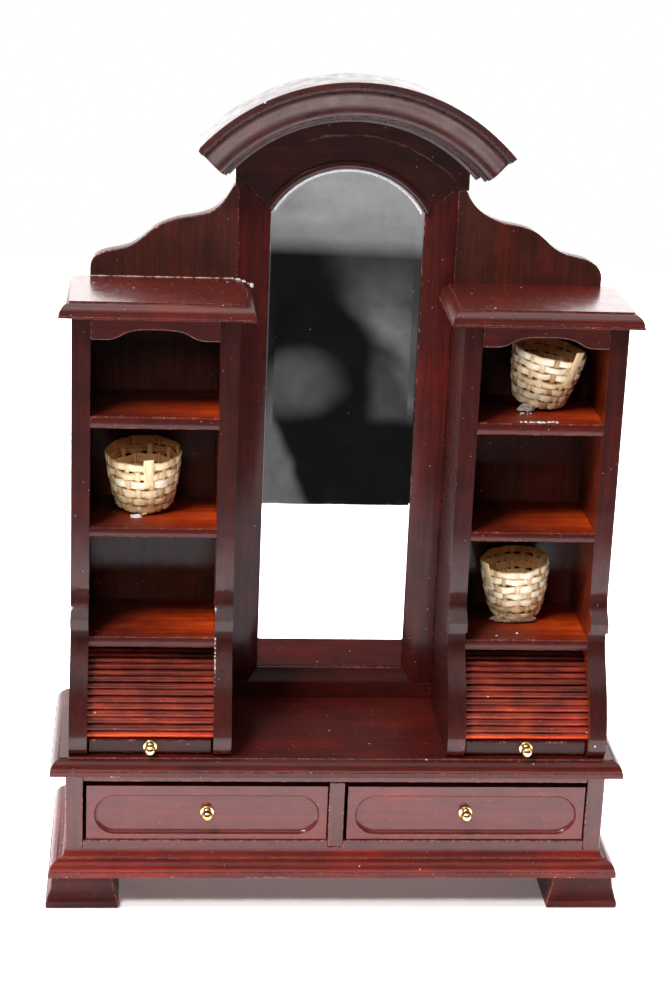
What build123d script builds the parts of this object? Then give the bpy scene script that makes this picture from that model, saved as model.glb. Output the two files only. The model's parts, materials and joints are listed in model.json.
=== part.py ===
from build123d import *
import math
import os

os.makedirs("parts", exist_ok=True)

# Miniature dressing table, 1:12 scale.  Millimetres, +Z up, front towards -Y.
# Origin: middle of the footprint, on the floor.

# ---- overall lines -------------------------------------------------------
TOP_FRONT = -18.55          # front edge of the table top
BACK = 19.05                # back edge of the table top and the base
TOP_HALF = 60.0             # half the width of the table top
FOOT_HALF = 60.9            # half the width over the feet

# ---- base ----------------------------------------------------------------
FOOT_H = 6.9
FOOT_SPREAD = 15.3          # width of a foot at the floor
FOOT_NECK = 12.8            # width of a foot under the plinth
FOOT_TOE = 1.2
PLINTH_HALF = 60.3
PLINTH_FRONT = TOP_FRONT + 0.4
PLINTH_TOP = 10.6
COVE_TOP = 12.4
COVE_OUT = 0.6

# ---- drawer case ---------------------------------------------------------
CASE_HALF = 56.9
CASE_FRONT = TOP_FRONT + 3.2
CASE_BACK = TOP_FRONT + 37.0
CASE_TOP = 30.4
SIDE_T = 3.7
FLOOR_TOP = 14.4
RAIL_UNDER = 27.9
RAIL_DEPTH = 5.8
CASE_BACK_T = 2.0
DIVIDER_T = 3.3
TONGUE_LOW = 12.9
TONGUE_DEPTH = 3.0

# ---- drawers -------------------------------------------------------------
FRONT_W = 50.55
FRONT_H = 12.25
FRONT_T = 2.8
FRONT_LOW = 14.55
FRONT_GAP_RIGHT = 0.3
FIELD_W = 47.3              # long oval sunk into each drawer front
FIELD_H = 8.95
FIELD_DEPTH = 0.95
FIELD_ROUND = 0.85          # cove between the field and its rim
FIELD_DROP = 0.5            # the oval sits this far below the middle of the front
FRONT_INSET = 0.35          # drawer fronts stand this far inside the case
DRAWER_BACK = TOP_FRONT + 33.4
DRAWER_SIDE_T = 1.5
DRAWER_SIDE_H = 9.8
DRAWER_BOTTOM_T = 1.0
DRAWER_TRAVEL = 22.0

# ---- table top -----------------------------------------------------------
TABLE_Z = 34.0              # upper face of the table top

# ---- upper cabinets ------------------------------------------------------
CAB_OUT = 56.2
CAB_IN = 22.6
CAB_SIDE_T = 3.75
CAB_FRONT = TOP_FRONT + 12.5
WALL = TOP_FRONT + 33.6     # front plane of the back boards and mirror frame
CAB_TOP_Z = 125.35
CAB_LID_Z = 128.5
LID_OUT = 58.8
LID_IN = 19.5
LID_FRONT = TOP_FRONT + 9.3
SHELF_HOUSING = 0.8
SHELF_UPPER = (101.8, 104.4)
SHELF_MIDDLE = (78.6, 80.7)
SHELF_LOWER = (54.65, 57.1)
SHELF_LOWER_FRONT = TOP_FRONT + 11.4
VALANCE_LOW = 120.3
VALANCE_RISE = 2.2
VALANCE_T = 2.0
BOARD_T = 3.0
HEADER_LOW = 148.0
# stepped scroll of each back board: (distance from the middle, height)
SCROLL_LEFT = [
    (24.0, 147.7), (25.3, 145.5), (27.1, 143.35), (30.7, 141.75), (34.8, 140.95), (38.9, 139.45),
    (41.9, 137.15), (44.9, 135.0), (49.0, 133.95), (52.1, 132.6), (53.1, 130.4),
]
SCROLL_RIGHT = [
    (24.5, 147.8), (25.5, 145.9), (27.25, 144.0), (29.4, 142.65), (32.0, 141.6), (37.0, 140.6),
    (40.1, 139.2), (43.5, 136.35), (46.8, 134.9), (51.1, 133.8), (53.1, 132.3), (53.85, 129.6),
]

# ---- tambours ------------------------------------------------------------
TRACK_Y = TOP_FRONT + 23.0  # centre of the curved track
TRACK_Z = 35.2
TAMBOUR_R = 19.0            # over the ribs
TAMBOUR_BASE_R = 18.4
TAMBOUR_BACK_R = 17.7
CANVAS_R = 17.5
TRACK_PLAY = 0.15
TRACK_DEPTH = 1.0
SLAT_COUNT = 7
SLAT_PITCH = 9.0            # degrees of arc
SLAT_START = 6.6
SLAT_GAP = 0.2
TAMBOUR_OPEN = 48.0         # degrees of travel

# ---- mirror frame --------------------------------------------------------
GLASS_HALF = 16.0
FRAME_FLAT = 18.2
RAIL_FLAT_Z = 37.6
RAIL_TOP_Z = 40.9
ARCH_Z = 133.5              # centre of the mirror arch
ARCH_R = 18.4
GLASS_Y = WALL + 1.3
GLASS_T = 1.0
CARD_T = 0.5
REBATE = 1.0
HEADER_HALF = 24.2
HEADER_X = 0.6              # the head board sits a little to the right
HEADER_BACK = TOP_FRONT + 37.0

# ---- arched cornice ------------------------------------------------------
CORNICE_Z = 127.8           # centre of the cornice arch
CORNICE_R = 43.2
CORNICE_SPREAD = 48.5       # degrees each side of the middle
CORNICE_FRONT = TOP_FRONT + 25.0
CORNICE_TIPS = (-31.45, 33.0)   # the horns of the arch are trimmed upright here
HEADER_R = 40.7

# ---- knobs ---------------------------------------------------------------
KNOB_FLANGE_R = 1.45
KNOB_NECK_R = 0.6
KNOB_BALL_R = 1.2
KNOB_REACH = 3.1


def board(x0, x1, y0, y1, z0, z1):
    """Plain rectangular board between two corners."""
    size = (abs(x1 - x0), abs(y1 - y0), abs(z1 - z0))
    middle = ((x0 + x1) / 2, (y0 + y1) / 2, (z0 + z1) / 2)
    return Pos(*middle) * Box(*size)


def face_yz(edges):
    """Face drawn in (y, z), standing on the plane x = 0."""
    return Plane.YZ * make_face(edges)


def face_xz(edges):
    """Face drawn in (x, z), standing on the plane y = 0."""
    return Plane.XZ * make_face(edges)


def outline(points):
    """Closed polygon through the points."""
    return Polyline(*points, close=True)


def slab(face, y0, y1):
    """Upright board: an (x, z) face given a thickness from y0 to y1."""
    return Pos(0, y1, 0) * extrude(face, y1 - y0)


def bar(face, x0, x1):
    """Length of moulding: a (y, z) face drawn out from x0 to x1."""
    return Pos(x0, 0, 0) * extrude(face, x1 - x0)


def ovolo(edge, inward, z0, z1, fillet, inset, lip):
    """Edge moulding: fillet below, quarter round, thin lip on top."""
    step = 0.2
    s = inward
    low = (edge + s * step, z0 + fillet)
    high = (edge + s * inset, z1 - lip)
    bend = math.sqrt(0.5)
    mid_a = high[0] - s * (inset - step) * bend
    mid_z = low[1] + (high[1] - low[1]) * bend
    return [
        Line((edge, z0), (edge, z0 + fillet)),
        Line((edge, z0 + fillet), low),
        ThreePointArc(low, (mid_a, mid_z), high),
        Line(high, (edge + s * inset, z1)),
    ]


def moulded_board(x0, x1, y0, y1, z0, z1, fillet, inset, lip):
    """Board moulded along the front and both ends, square at the back."""
    front = ovolo(y0, 1, z0, z1, fillet, inset, lip)
    front += [Line((y0 + inset, z1), (y1, z1)), Line((y1, z1), (y1, z0)), Line((y1, z0), (y0, z0))]
    left = ovolo(x0, 1, z0, z1, fillet, inset, lip)
    right = ovolo(x1, -1, z0, z1, fillet, inset, lip)
    ends = left + right
    ends += [Line((x0 + inset, z1), (x1 - inset, z1)), Line((x1, z0), (x0, z0))]
    return bar(face_yz(front), x0, x1) & slab(face_xz(ends), y0, y1)


def flare(centre, z_top):
    """Outline of a foot: straight toe, hollow sides, narrower at the top."""
    wide = FOOT_SPREAD / 2
    neck = FOOT_NECK / 2
    hollow = neck + (wide - neck) * 0.3
    z_mid = FOOT_TOE + (z_top - FOOT_TOE) * 0.5
    return [
        Line((centre - wide, 0), (centre + wide, 0)),
        Line((centre + wide, 0), (centre + wide, FOOT_TOE)),
        ThreePointArc((centre + wide, FOOT_TOE), (centre + hollow, z_mid), (centre + neck, z_top)),
        Line((centre + neck, z_top), (centre - neck, z_top)),
        ThreePointArc((centre - neck, z_top), (centre - hollow, z_mid), (centre - wide, FOOT_TOE)),
        Line((centre - wide, FOOT_TOE), (centre - wide, 0)),
    ]


def foot(x, y):
    """Flared block foot."""
    reach = FOOT_SPREAD
    across = slab(face_xz(flare(x, FOOT_H)), y - reach, y + reach)
    along = bar(face_yz(flare(y, FOOT_H)), x - reach, x + reach)
    return across & along


def cove_strip():
    """Small hollow moulding between the plinth and the drawer case."""
    y0 = CASE_FRONT - COVE_OUT
    x0 = CASE_HALF + COVE_OUT
    mid = COVE_OUT * 0.27
    z_mid = PLINTH_TOP + 0.95
    front = [
        Line((y0, PLINTH_TOP), (y0, PLINTH_TOP + 0.2)),
        ThreePointArc((y0, PLINTH_TOP + 0.2), (CASE_FRONT - mid, z_mid), (CASE_FRONT, COVE_TOP)),
        Line((CASE_FRONT, COVE_TOP), (CASE_BACK, COVE_TOP)),
        Line((CASE_BACK, COVE_TOP), (CASE_BACK, PLINTH_TOP)),
        Line((CASE_BACK, PLINTH_TOP), (y0, PLINTH_TOP)),
    ]
    ends = [
        Line((-x0, PLINTH_TOP), (-x0, PLINTH_TOP + 0.2)),
        ThreePointArc((-x0, PLINTH_TOP + 0.2), (-CASE_HALF - mid, z_mid), (-CASE_HALF, COVE_TOP)),
        Line((-CASE_HALF, COVE_TOP), (CASE_HALF, COVE_TOP)),
        ThreePointArc((CASE_HALF, COVE_TOP), (CASE_HALF + mid, z_mid), (x0, PLINTH_TOP + 0.2)),
        Line((x0, PLINTH_TOP + 0.2), (x0, PLINTH_TOP)),
        Line((x0, PLINTH_TOP), (-x0, PLINTH_TOP)),
    ]
    ring = bar(face_yz(front), -x0, x0) & slab(face_xz(ends), y0, CASE_BACK)
    return ring - board(-CASE_HALF, CASE_HALF, CASE_FRONT, BACK, 0, 40)


def case_parts():
    """Drawer case: sides, floor, divider, top rail and back."""
    inner = CASE_HALF - SIDE_T
    back = CASE_BACK - CASE_BACK_T
    half = DIVIDER_T / 2
    side = board(inner, CASE_HALF, CASE_FRONT, CASE_BACK, PLINTH_TOP, CASE_TOP)
    divider = board(-half, half, CASE_FRONT, back, FLOOR_TOP, RAIL_UNDER)
    divider += board(-half, half, CASE_FRONT + RAIL_DEPTH, back, RAIL_UNDER, CASE_TOP)
    divider += board(-half, half, CASE_FRONT, CASE_FRONT + TONGUE_DEPTH, TONGUE_LOW, FLOOR_TOP)
    floor = board(-inner, inner, CASE_FRONT, back, PLINTH_TOP, FLOOR_TOP) - divider
    rail = board(-inner, inner, CASE_FRONT, CASE_FRONT + RAIL_DEPTH, RAIL_UNDER, CASE_TOP)
    return {
        "case_side_right": side,
        "case_side_left": mirror(side, Plane.YZ),
        "case_divider": divider,
        "case_floor": floor,
        "case_top_rail": rail,
        "case_back": board(-inner, inner, back, CASE_BACK, PLINTH_TOP, CASE_TOP),
    }


def knob(x, y, z, lean=0):
    """Turned knob pointing to the front: flange, neck and ball."""
    ball_y = KNOB_REACH - KNOB_BALL_R
    meet = math.sqrt(KNOB_BALL_R ** 2 - KNOB_NECK_R ** 2)
    rim = 0.25
    edges = [
        Line((0, 0), (KNOB_FLANGE_R, 0)),
        Line((KNOB_FLANGE_R, 0), (KNOB_FLANGE_R, rim)),
        ThreePointArc((KNOB_FLANGE_R, rim), (1.05, 0.42), (KNOB_NECK_R, 0.75)),
        Line((KNOB_NECK_R, 0.75), (KNOB_NECK_R, ball_y - meet)),
        ThreePointArc((KNOB_NECK_R, ball_y - meet), (KNOB_BALL_R, ball_y), (0, KNOB_REACH)),
        Line((0, KNOB_REACH), (0, 0)),
    ]
    turned = revolve(Plane.XY * make_face(edges), Axis.Y, 360)
    return Pos(x, y, z) * Rot(lean, 0, 180) * turned


def drawer_parts(name, x_low):
    """One drawer: front with a sunken oval field, two sides, back, bottom and knob."""
    x_high = x_low + FRONT_W
    centre = (x_low + x_high) / 2
    z_mid = FRONT_LOW + FRONT_H / 2
    inner_face = CASE_FRONT + FRONT_T
    ground = CASE_FRONT + FRONT_INSET
    front = board(x_low, x_high, ground, inner_face, FRONT_LOW, FRONT_LOW + FRONT_H)
    field_face = Plane.XZ * Pos(centre, z_mid - FIELD_DROP) * SlotOverall(FIELD_W, FIELD_H)
    field = slab(field_face, ground - 1, ground + FIELD_DEPTH)
    rim = field.faces().sort_by(Axis.Y)[-1].edges()
    front -= fillet(rim, FIELD_ROUND)
    box_low = x_low + 0.5
    box_high = x_high - 0.5
    z_low = FRONT_LOW + 0.1
    z_high = z_low + DRAWER_SIDE_H
    t = DRAWER_SIDE_T
    groove = 0.5
    bottom = board(
        box_low + t - groove, box_high - t + groove,
        inner_face, DRAWER_BACK - t, z_low + 0.8, z_low + 0.8 + DRAWER_BOTTOM_T,
    )
    left = board(box_low, box_low + t, inner_face, DRAWER_BACK, z_low, z_high) - bottom
    right = board(box_high - t, box_high, inner_face, DRAWER_BACK, z_low, z_high) - bottom
    back = board(box_low + t, box_high - t, DRAWER_BACK - t, DRAWER_BACK, z_low, z_high)
    return {
        f"drawer_{name}_front": front,
        f"drawer_{name}_sides": Compound(children=[left, right]),
        f"drawer_{name}_back": back,
        f"drawer_{name}_bottom": bottom,
        f"drawer_{name}_knob": knob(centre, ground + FIELD_DEPTH, z_mid - FIELD_DROP + 0.2),
    }


def side_outline():
    """Scroll-cut outline of a cabinet side in (y, z)."""
    y = TOP_FRONT
    nose = y + 9.2
    waist = y + 11.4
    return [
        Line((WALL, TABLE_Z), (WALL, CAB_TOP_Z)),
        Line((WALL, CAB_TOP_Z), (CAB_FRONT, CAB_TOP_Z)),
        Line((CAB_FRONT, CAB_TOP_Z), (CAB_FRONT, 68.0)),
        Spline((CAB_FRONT, 68.0), (y + 11.75, 64.2), (nose, 61.6), tangents=[(0, -1), (-0.7, -0.7)]),
        Line((nose, 61.6), (nose, 59.6)),
        Line((nose, 59.6), (waist, 59.2)),
        Line((waist, 59.2), (waist, 57.3)),
        Spline(
            (waist, 57.3), (y + 9.6, 53.7), (y + 6.2, 48.8), (y + 3.5, 43.6),
            (y + 2.1, 38.8), (y + 2.2, 35.7), (y + 3.3, TABLE_Z),
        ),
        Line((y + 3.3, TABLE_Z), (WALL, TABLE_Z)),
    ]


def track(x0, x1):
    """Curved groove that carries the ends of the tambour slats."""
    outer = TAMBOUR_R + TRACK_PLAY
    inner = TAMBOUR_BACK_R - TRACK_PLAY
    start = math.radians(-3.5)
    end = math.radians(SLAT_START + SLAT_COUNT * SLAT_PITCH + TAMBOUR_OPEN + 2)

    def at(r, a):
        return (TRACK_Y - r * math.cos(a), TRACK_Z + r * math.sin(a))

    middle = (start + end) / 2
    edges = [
        ThreePointArc(at(outer, start), at(outer, middle), at(outer, end)),
        Line(at(outer, end), at(inner, end)),
        ThreePointArc(at(inner, end), at(inner, middle), at(inner, start)),
        Line(at(inner, start), at(outer, start)),
    ]
    return bar(face_yz(edges), x0, x1)


def shelf(z_range, front):
    """Shelf with a slightly rounded front edge, housed in both sides."""
    x0 = CAB_IN + CAB_SIDE_T - SHELF_HOUSING
    x1 = CAB_OUT - CAB_SIDE_T + SHELF_HOUSING
    low, high = z_range
    z_mid = (low + high) / 2
    bulge = 0.35
    edges = [
        ThreePointArc((front + bulge, low), (front, z_mid), (front + bulge, high)),
        Line((front + bulge, high), (WALL, high)),
        Line((WALL, high), (WALL, low)),
        Line((WALL, low), (front + bulge, low)),
    ]
    return bar(face_yz(edges), x0, x1)


def valance():
    """Thin rail under the lid with an arched lower edge."""
    x0 = CAB_IN + CAB_SIDE_T
    x1 = CAB_OUT - CAB_SIDE_T
    middle = (x0 + x1) / 2
    flat = 3.0
    z = VALANCE_LOW
    crown = [
        (x0 + flat, z), (x0 + 6.8, z + VALANCE_RISE * 0.62), (middle, z + VALANCE_RISE),
        (x1 - 6.8, z + VALANCE_RISE * 0.62), (x1 - flat, z),
    ]
    edges = [
        Line((x0, z), (x0 + flat, z)),
        Spline(*crown, tangents=[(1, 0), (1, 0)]),
        Line((x1 - flat, z), (x1, z)),
        Line((x1, z), (x1, CAB_TOP_Z)),
        Line((x1, CAB_TOP_Z), (x0, CAB_TOP_Z)),
        Line((x0, CAB_TOP_Z), (x0, z)),
    ]
    return slab(face_xz(edges), CAB_FRONT, CAB_FRONT + VALANCE_T)


def back_board(scroll):
    """Back of one cabinet, rising above it as a stepped scroll."""
    shoulder = scroll[0][0] - 0.4
    out = scroll[-1][0]
    edges = [
        Line((CAB_IN, TABLE_Z), (CAB_IN, HEADER_LOW)),
        Line((CAB_IN, HEADER_LOW), (shoulder, HEADER_LOW)),
        Line((shoulder, HEADER_LOW), scroll[0]),
        Spline(*scroll),
        Line(scroll[-1], (out, TABLE_Z)),
        Line((out, TABLE_Z), (CAB_IN, TABLE_Z)),
    ]
    return slab(face_xz(edges), WALL, WALL + BOARD_T)


def cabinet_parts():
    """Right-hand cabinet carcass (the left one is its mirror image)."""
    upper = shelf(SHELF_UPPER, CAB_FRONT)
    middle = shelf(SHELF_MIDDLE, CAB_FRONT)
    lower = shelf(SHELF_LOWER, SHELF_LOWER_FRONT)
    profile = face_yz(side_outline())
    out_face = CAB_OUT - CAB_SIDE_T
    in_face = CAB_IN + CAB_SIDE_T
    outer = bar(profile, out_face, CAB_OUT) - track(out_face, out_face + TRACK_DEPTH)
    inner = bar(profile, CAB_IN, in_face) - track(in_face - TRACK_DEPTH, in_face)
    for board_in in (upper, middle, lower):
        outer -= board_in
        inner -= board_in
    lid = moulded_board(LID_IN, LID_OUT, LID_FRONT, WALL, CAB_TOP_Z, CAB_LID_Z, 0.4, 2.1, 0.35)
    return {
        "outer_side": outer,
        "inner_side": inner,
        "upper_shelf": upper,
        "middle_shelf": middle,
        "lower_shelf": lower,
        "valance": valance(),
        "top_board": lid,
    }


def tambour_parts():
    """Right-hand tambour: ribbed slats on canvas, lip rail and knob."""
    x0 = CAB_IN + CAB_SIDE_T
    x1 = CAB_OUT - CAB_SIDE_T
    middle = (x0 + x1) / 2
    reach = TRACK_DEPTH - 0.25
    pitch = math.radians(SLAT_PITCH)
    half = TAMBOUR_BASE_R * pitch / 2 - SLAT_GAP / 2
    back_half = TAMBOUR_BACK_R * pitch / 2 - SLAT_GAP / 2
    slats = []
    for index in range(SLAT_COUNT):
        angle = SLAT_START + (index + 0.5) * SLAT_PITCH
        edges = [
            Line((-back_half, TAMBOUR_BACK_R), (back_half, TAMBOUR_BACK_R)),
            Line((back_half, TAMBOUR_BACK_R), (half, TAMBOUR_BASE_R)),
            ThreePointArc((half, TAMBOUR_BASE_R), (half / 2, TAMBOUR_R), (0, TAMBOUR_BASE_R)),
            ThreePointArc((0, TAMBOUR_BASE_R), (-half / 2, TAMBOUR_R), (-half, TAMBOUR_BASE_R)),
            Line((-half, TAMBOUR_BASE_R), (-back_half, TAMBOUR_BACK_R)),
        ]
        slat = bar(face_yz(edges), x0 - reach, x1 + reach)
        slats.append(Pos(0, TRACK_Y, TRACK_Z) * Rot(90 - angle, 0, 0) * slat)
    side_gap = 0.3
    lip_low = TABLE_Z + 0.25
    lip_high = TRACK_Z + TAMBOUR_R * math.sin(math.radians(SLAT_START)) - 0.1
    lip_front = TRACK_Y - TAMBOUR_R - 0.4
    tube = Pos(middle, TRACK_Y, TRACK_Z) * Rot(0, 90, 0) * Cylinder(TAMBOUR_BACK_R, 60)
    core = Pos(middle, TRACK_Y, TRACK_Z) * Rot(0, 90, 0) * Cylinder(CANVAS_R, 60)
    lip = board(x0 + side_gap, x1 - side_gap, lip_front, lip_front + 2.6, lip_low, lip_high)
    lip = lip - tube
    sector_end = SLAT_START + SLAT_COUNT * SLAT_PITCH - 0.4
    far = 40
    sweep = [(0, 0), (-far, lip_low + 0.3 - TRACK_Z)]
    for a in (0, 25, 50, sector_end):
        bend = math.radians(a)
        if a > 0:
            sweep.append((-far * math.cos(bend), far * math.sin(bend)))
    wedge = Pos(0, TRACK_Y, TRACK_Z) * bar(face_yz(outline(sweep)), x0 + side_gap, x1 - side_gap)
    canvas = (tube - core) & wedge
    return {
        "slats": Compound(children=slats),
        "canvas": canvas,
        "lip_rail": lip,
        "knob": knob(middle, lip_front, TABLE_Z + 1.8),
    }


def stile():
    """Right-hand upright of the mirror frame, bevelled towards the glass."""
    section = [
        (CAB_IN, WALL), (FRAME_FLAT, WALL), (GLASS_HALF, WALL + 1.0), (GLASS_HALF, GLASS_Y),
        (GLASS_HALF + REBATE, GLASS_Y), (GLASS_HALF + REBATE, WALL + BOARD_T), (CAB_IN, WALL + BOARD_T),
    ]
    post = Pos(0, 0, RAIL_FLAT_Z) * extrude(make_face(outline(section)), HEADER_LOW - RAIL_FLAT_Z)
    shape = [
        (CAB_IN, RAIL_FLAT_Z), (FRAME_FLAT, RAIL_FLAT_Z), (GLASS_HALF, RAIL_TOP_Z), (GLASS_HALF, 142.6),
        (16.2, 143.2), (21.4, HEADER_LOW), (CAB_IN, HEADER_LOW),
    ]
    return post & slab(face_xz(outline(shape)), WALL - 1, BACK)


def bottom_rail():
    """Lower rail of the mirror frame, mitred to the uprights."""
    shape = [
        (-CAB_IN, TABLE_Z), (CAB_IN, TABLE_Z), (CAB_IN, RAIL_FLAT_Z), (FRAME_FLAT, RAIL_FLAT_Z),
        (GLASS_HALF, RAIL_TOP_Z), (-GLASS_HALF, RAIL_TOP_Z), (-FRAME_FLAT, RAIL_FLAT_Z),
        (-CAB_IN, RAIL_FLAT_Z),
    ]
    rail = slab(face_xz(outline(shape)), WALL, WALL + BOARD_T)
    bevel = [(WALL - 1, RAIL_FLAT_Z), (WALL, RAIL_FLAT_Z), (WALL + 1.0, RAIL_TOP_Z), (WALL - 1, RAIL_TOP_Z)]
    rail -= bar(face_yz(outline(bevel)), -30, 30)
    return rail - glass_shape(GLASS_Y, BACK)


def glass_shape(y0, y1):
    """Arched outline of the mirror glass between two depths."""
    half = GLASS_HALF + REBATE
    radius = ARCH_R + REBATE
    spring = ARCH_Z + math.sqrt(radius ** 2 - half ** 2)
    low = RAIL_TOP_Z - REBATE
    edges = [
        Line((-half, low), (half, low)),
        Line((half, low), (half, spring)),
        ThreePointArc((half, spring), (0, ARCH_Z + radius), (-half, spring)),
        Line((-half, spring), (-half, low)),
    ]
    return slab(face_xz(edges), y0, y1)


def header():
    """Head board of the frame with the arched opening."""
    shoulder = CORNICE_Z + math.sqrt(HEADER_R ** 2 - HEADER_HALF ** 2)
    low_x = HEADER_X - HEADER_HALF
    high_x = HEADER_X + HEADER_HALF
    edges = [
        Line((high_x, HEADER_LOW), (high_x, shoulder)),
        ThreePointArc((high_x, shoulder), (HEADER_X, CORNICE_Z + HEADER_R), (low_x, shoulder)),
        Line((low_x, shoulder), (low_x, HEADER_LOW)),
        Line((low_x, HEADER_LOW), (-21.4, HEADER_LOW)),
        Line((-21.4, HEADER_LOW), (-16.2, 143.2)),
        Line((-16.2, 143.2), (-GLASS_HALF, 142.6)),
        ThreePointArc((-GLASS_HALF, 142.6), (0, ARCH_Z + ARCH_R), (GLASS_HALF, 142.6)),
        Line((GLASS_HALF, 142.6), (16.2, 143.2)),
        Line((16.2, 143.2), (21.4, HEADER_LOW)),
        Line((21.4, HEADER_LOW), (high_x, HEADER_LOW)),
    ]
    return slab(face_xz(edges), WALL, HEADER_BACK) - glass_shape(GLASS_Y, BACK)


def arc_moulding(edges, centre_z, spread):
    """Sweep a (depth, radius) profile about a front-to-back axis."""
    profile = Plane.YZ * make_face(edges)
    axis = Axis((0, 0, 0), (0, 1, 0))
    swept = revolve(Rot(0, -spread, 0) * profile, axis, 2 * spread)
    return Pos(0, 0, centre_z) * swept


def arch_bead():
    """Half-round bead framing the arched head of the mirror."""
    inner = ARCH_R + 0.25
    outer = ARCH_R + 1.85
    edges = [
        Line((WALL, inner), (WALL, outer)),
        ThreePointArc((WALL, outer), (WALL - 0.55, (inner + outer) / 2), (WALL, inner)),
    ]
    return arc_moulding(edges, ARCH_Z, 59.0)


def cornice():
    """Arched crown moulding: broad fascia, step, ogee and a rounded nose."""
    y = CORNICE_FRONT
    cover = TOP_FRONT + 37.6
    ogee = [
        (y + 1.9, 36.05), (y + 0.9, 36.4), (y + 0.3, 37.0), (y + 0.1, 37.9),
        (y + 0.4, 38.6), (y + 1.0, 39.3), (y + 1.7, 40.4),
    ]
    edges = [
        Line((y, CORNICE_R), (cover, CORNICE_R)),
        Line((cover, CORNICE_R), (cover, HEADER_R)),
        Line((cover, HEADER_R), (WALL, HEADER_R)),
        Line((WALL, HEADER_R), (WALL, 33.8)),
        ThreePointArc((WALL, 33.8), (y + 8.1, 34.35), (y + 7.5, 35.2)),
        Line((y + 7.5, 35.2), (y + 1.9, 36.05)),
        Spline(*ogee),
        Line((y + 1.7, 40.4), (y + 0.5, 41.0)),
        Line((y + 0.5, 41.0), (y + 0.45, 41.7)),
        Line((y + 0.45, 41.7), (y, 41.9)),
        Line((y, 41.9), (y, CORNICE_R)),
    ]
    arch = Pos(HEADER_X, 0, 0) * arc_moulding(edges, CORNICE_Z, CORNICE_SPREAD)
    return arch & board(CORNICE_TIPS[0], CORNICE_TIPS[1], y - 1, cover + 1, 140, 180)


def basket(rim_r, base_r, height, stub_angle, stub_low, stub_high, turn_x, turn_y):
    """Tapered woven basket, simplified to a thin cup with one stub stake."""
    wall = 0.6
    slope = (rim_r - base_r) / height
    inner_base = base_r - wall + slope * wall
    edges = [
        Line((0, 0), (base_r, 0)),
        Line((base_r, 0), (rim_r, height)),
        Line((rim_r, height), (rim_r - wall, height)),
        Line((rim_r - wall, height), (inner_base, wall)),
        Line((inner_base, wall), (0, wall)),
        Line((0, wall), (0, 0)),
    ]
    cup = revolve(Plane.XZ * make_face(edges), Axis.Z, 360)
    tilt = math.degrees(math.atan(slope))
    length = stub_high - stub_low
    stub = Pos(0, -wall * 0.2, length / 2) * Box(2.2, wall, length)
    at = Pos(0, -(base_r + slope * stub_low), stub_low)
    cup += Rot(0, 0, stub_angle) * at * Rot(tilt, 0, 0) * stub
    return Rot(turn_x, turn_y, 0) * cup


def basket_and_glue(x, y, floor_z, spec):
    """Place a leaning basket on a shelf, with the glue that holds it."""
    rim_r, base_r, height, stub_angle, stub_low, stub_high, turn_x, turn_y = spec
    turn = Rot(turn_x, turn_y, 0)
    lowest = 0.0
    for step in range(72):
        a = math.radians(step * 5)
        edge_point = (turn * Pos(base_r * math.cos(a), base_r * math.sin(a), 0)).position
        lowest = min(lowest, edge_point.Z)
    place = Pos(x, y, floor_z - lowest)
    body = place * basket(*spec)
    above = place * turn * Pos(0, 0, 20) * Box(60, 60, 40)
    blob = Pos(x, y, floor_z + 2) * Cylinder(base_r * 0.6, 4)
    return body, blob - above


nodes = {}
foot_x = FOOT_HALF - FOOT_SPREAD / 2
foot_front = TOP_FRONT + FOOT_SPREAD / 2
foot_rear = CASE_BACK - FOOT_SPREAD / 2
nodes["foot_front_left"] = foot(-foot_x, foot_front)
nodes["foot_front_right"] = foot(foot_x, foot_front)
nodes["foot_rear_left"] = foot(-foot_x, foot_rear)
nodes["foot_rear_right"] = foot(foot_x, foot_rear)
nodes["plinth_board"] = moulded_board(
    -PLINTH_HALF, PLINTH_HALF, PLINTH_FRONT, BACK, FOOT_H, PLINTH_TOP, 1.2, 2.1, 0.2
)
nodes["base_cove_moulding"] = cove_strip()
nodes.update(case_parts())
nodes["table_top"] = moulded_board(
    -TOP_HALF, TOP_HALF, TOP_FRONT, BACK, CASE_TOP, TABLE_Z, 1.1, 2.0, 0.25
)

inner_wall = CASE_HALF - SIDE_T
left_low = -DIVIDER_T / 2 - FRONT_GAP_RIGHT - FRONT_W
right_low = inner_wall - FRONT_GAP_RIGHT - FRONT_W
nodes.update(drawer_parts("left", left_low))
nodes.update(drawer_parts("right", right_low))

for part_name, shape in cabinet_parts().items():
    nodes[f"cabinet_right_{part_name}"] = shape
    nodes[f"cabinet_left_{part_name}"] = mirror(shape, Plane.YZ)
nodes["cabinet_right_back_board"] = back_board(SCROLL_RIGHT)
nodes["cabinet_left_back_board"] = mirror(back_board(SCROLL_LEFT), Plane.YZ)
for part_name, shape in tambour_parts().items():
    nodes[f"tambour_right_{part_name}"] = shape
    nodes[f"tambour_left_{part_name}"] = mirror(shape, Plane.YZ)

nodes["mirror_stile_right"] = stile()
nodes["mirror_stile_left"] = mirror(stile(), Plane.YZ)
nodes["mirror_bottom_rail"] = bottom_rail()
nodes["mirror_header"] = header()
nodes["mirror_arch_bead"] = arch_bead()
nodes["crown_cornice"] = cornice()
nodes["mirror_glass"] = glass_shape(GLASS_Y, GLASS_Y + GLASS_T)
nodes["mirror_backing"] = glass_shape(GLASS_Y + GLASS_T, GLASS_Y + GLASS_T + CARD_T)

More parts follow.
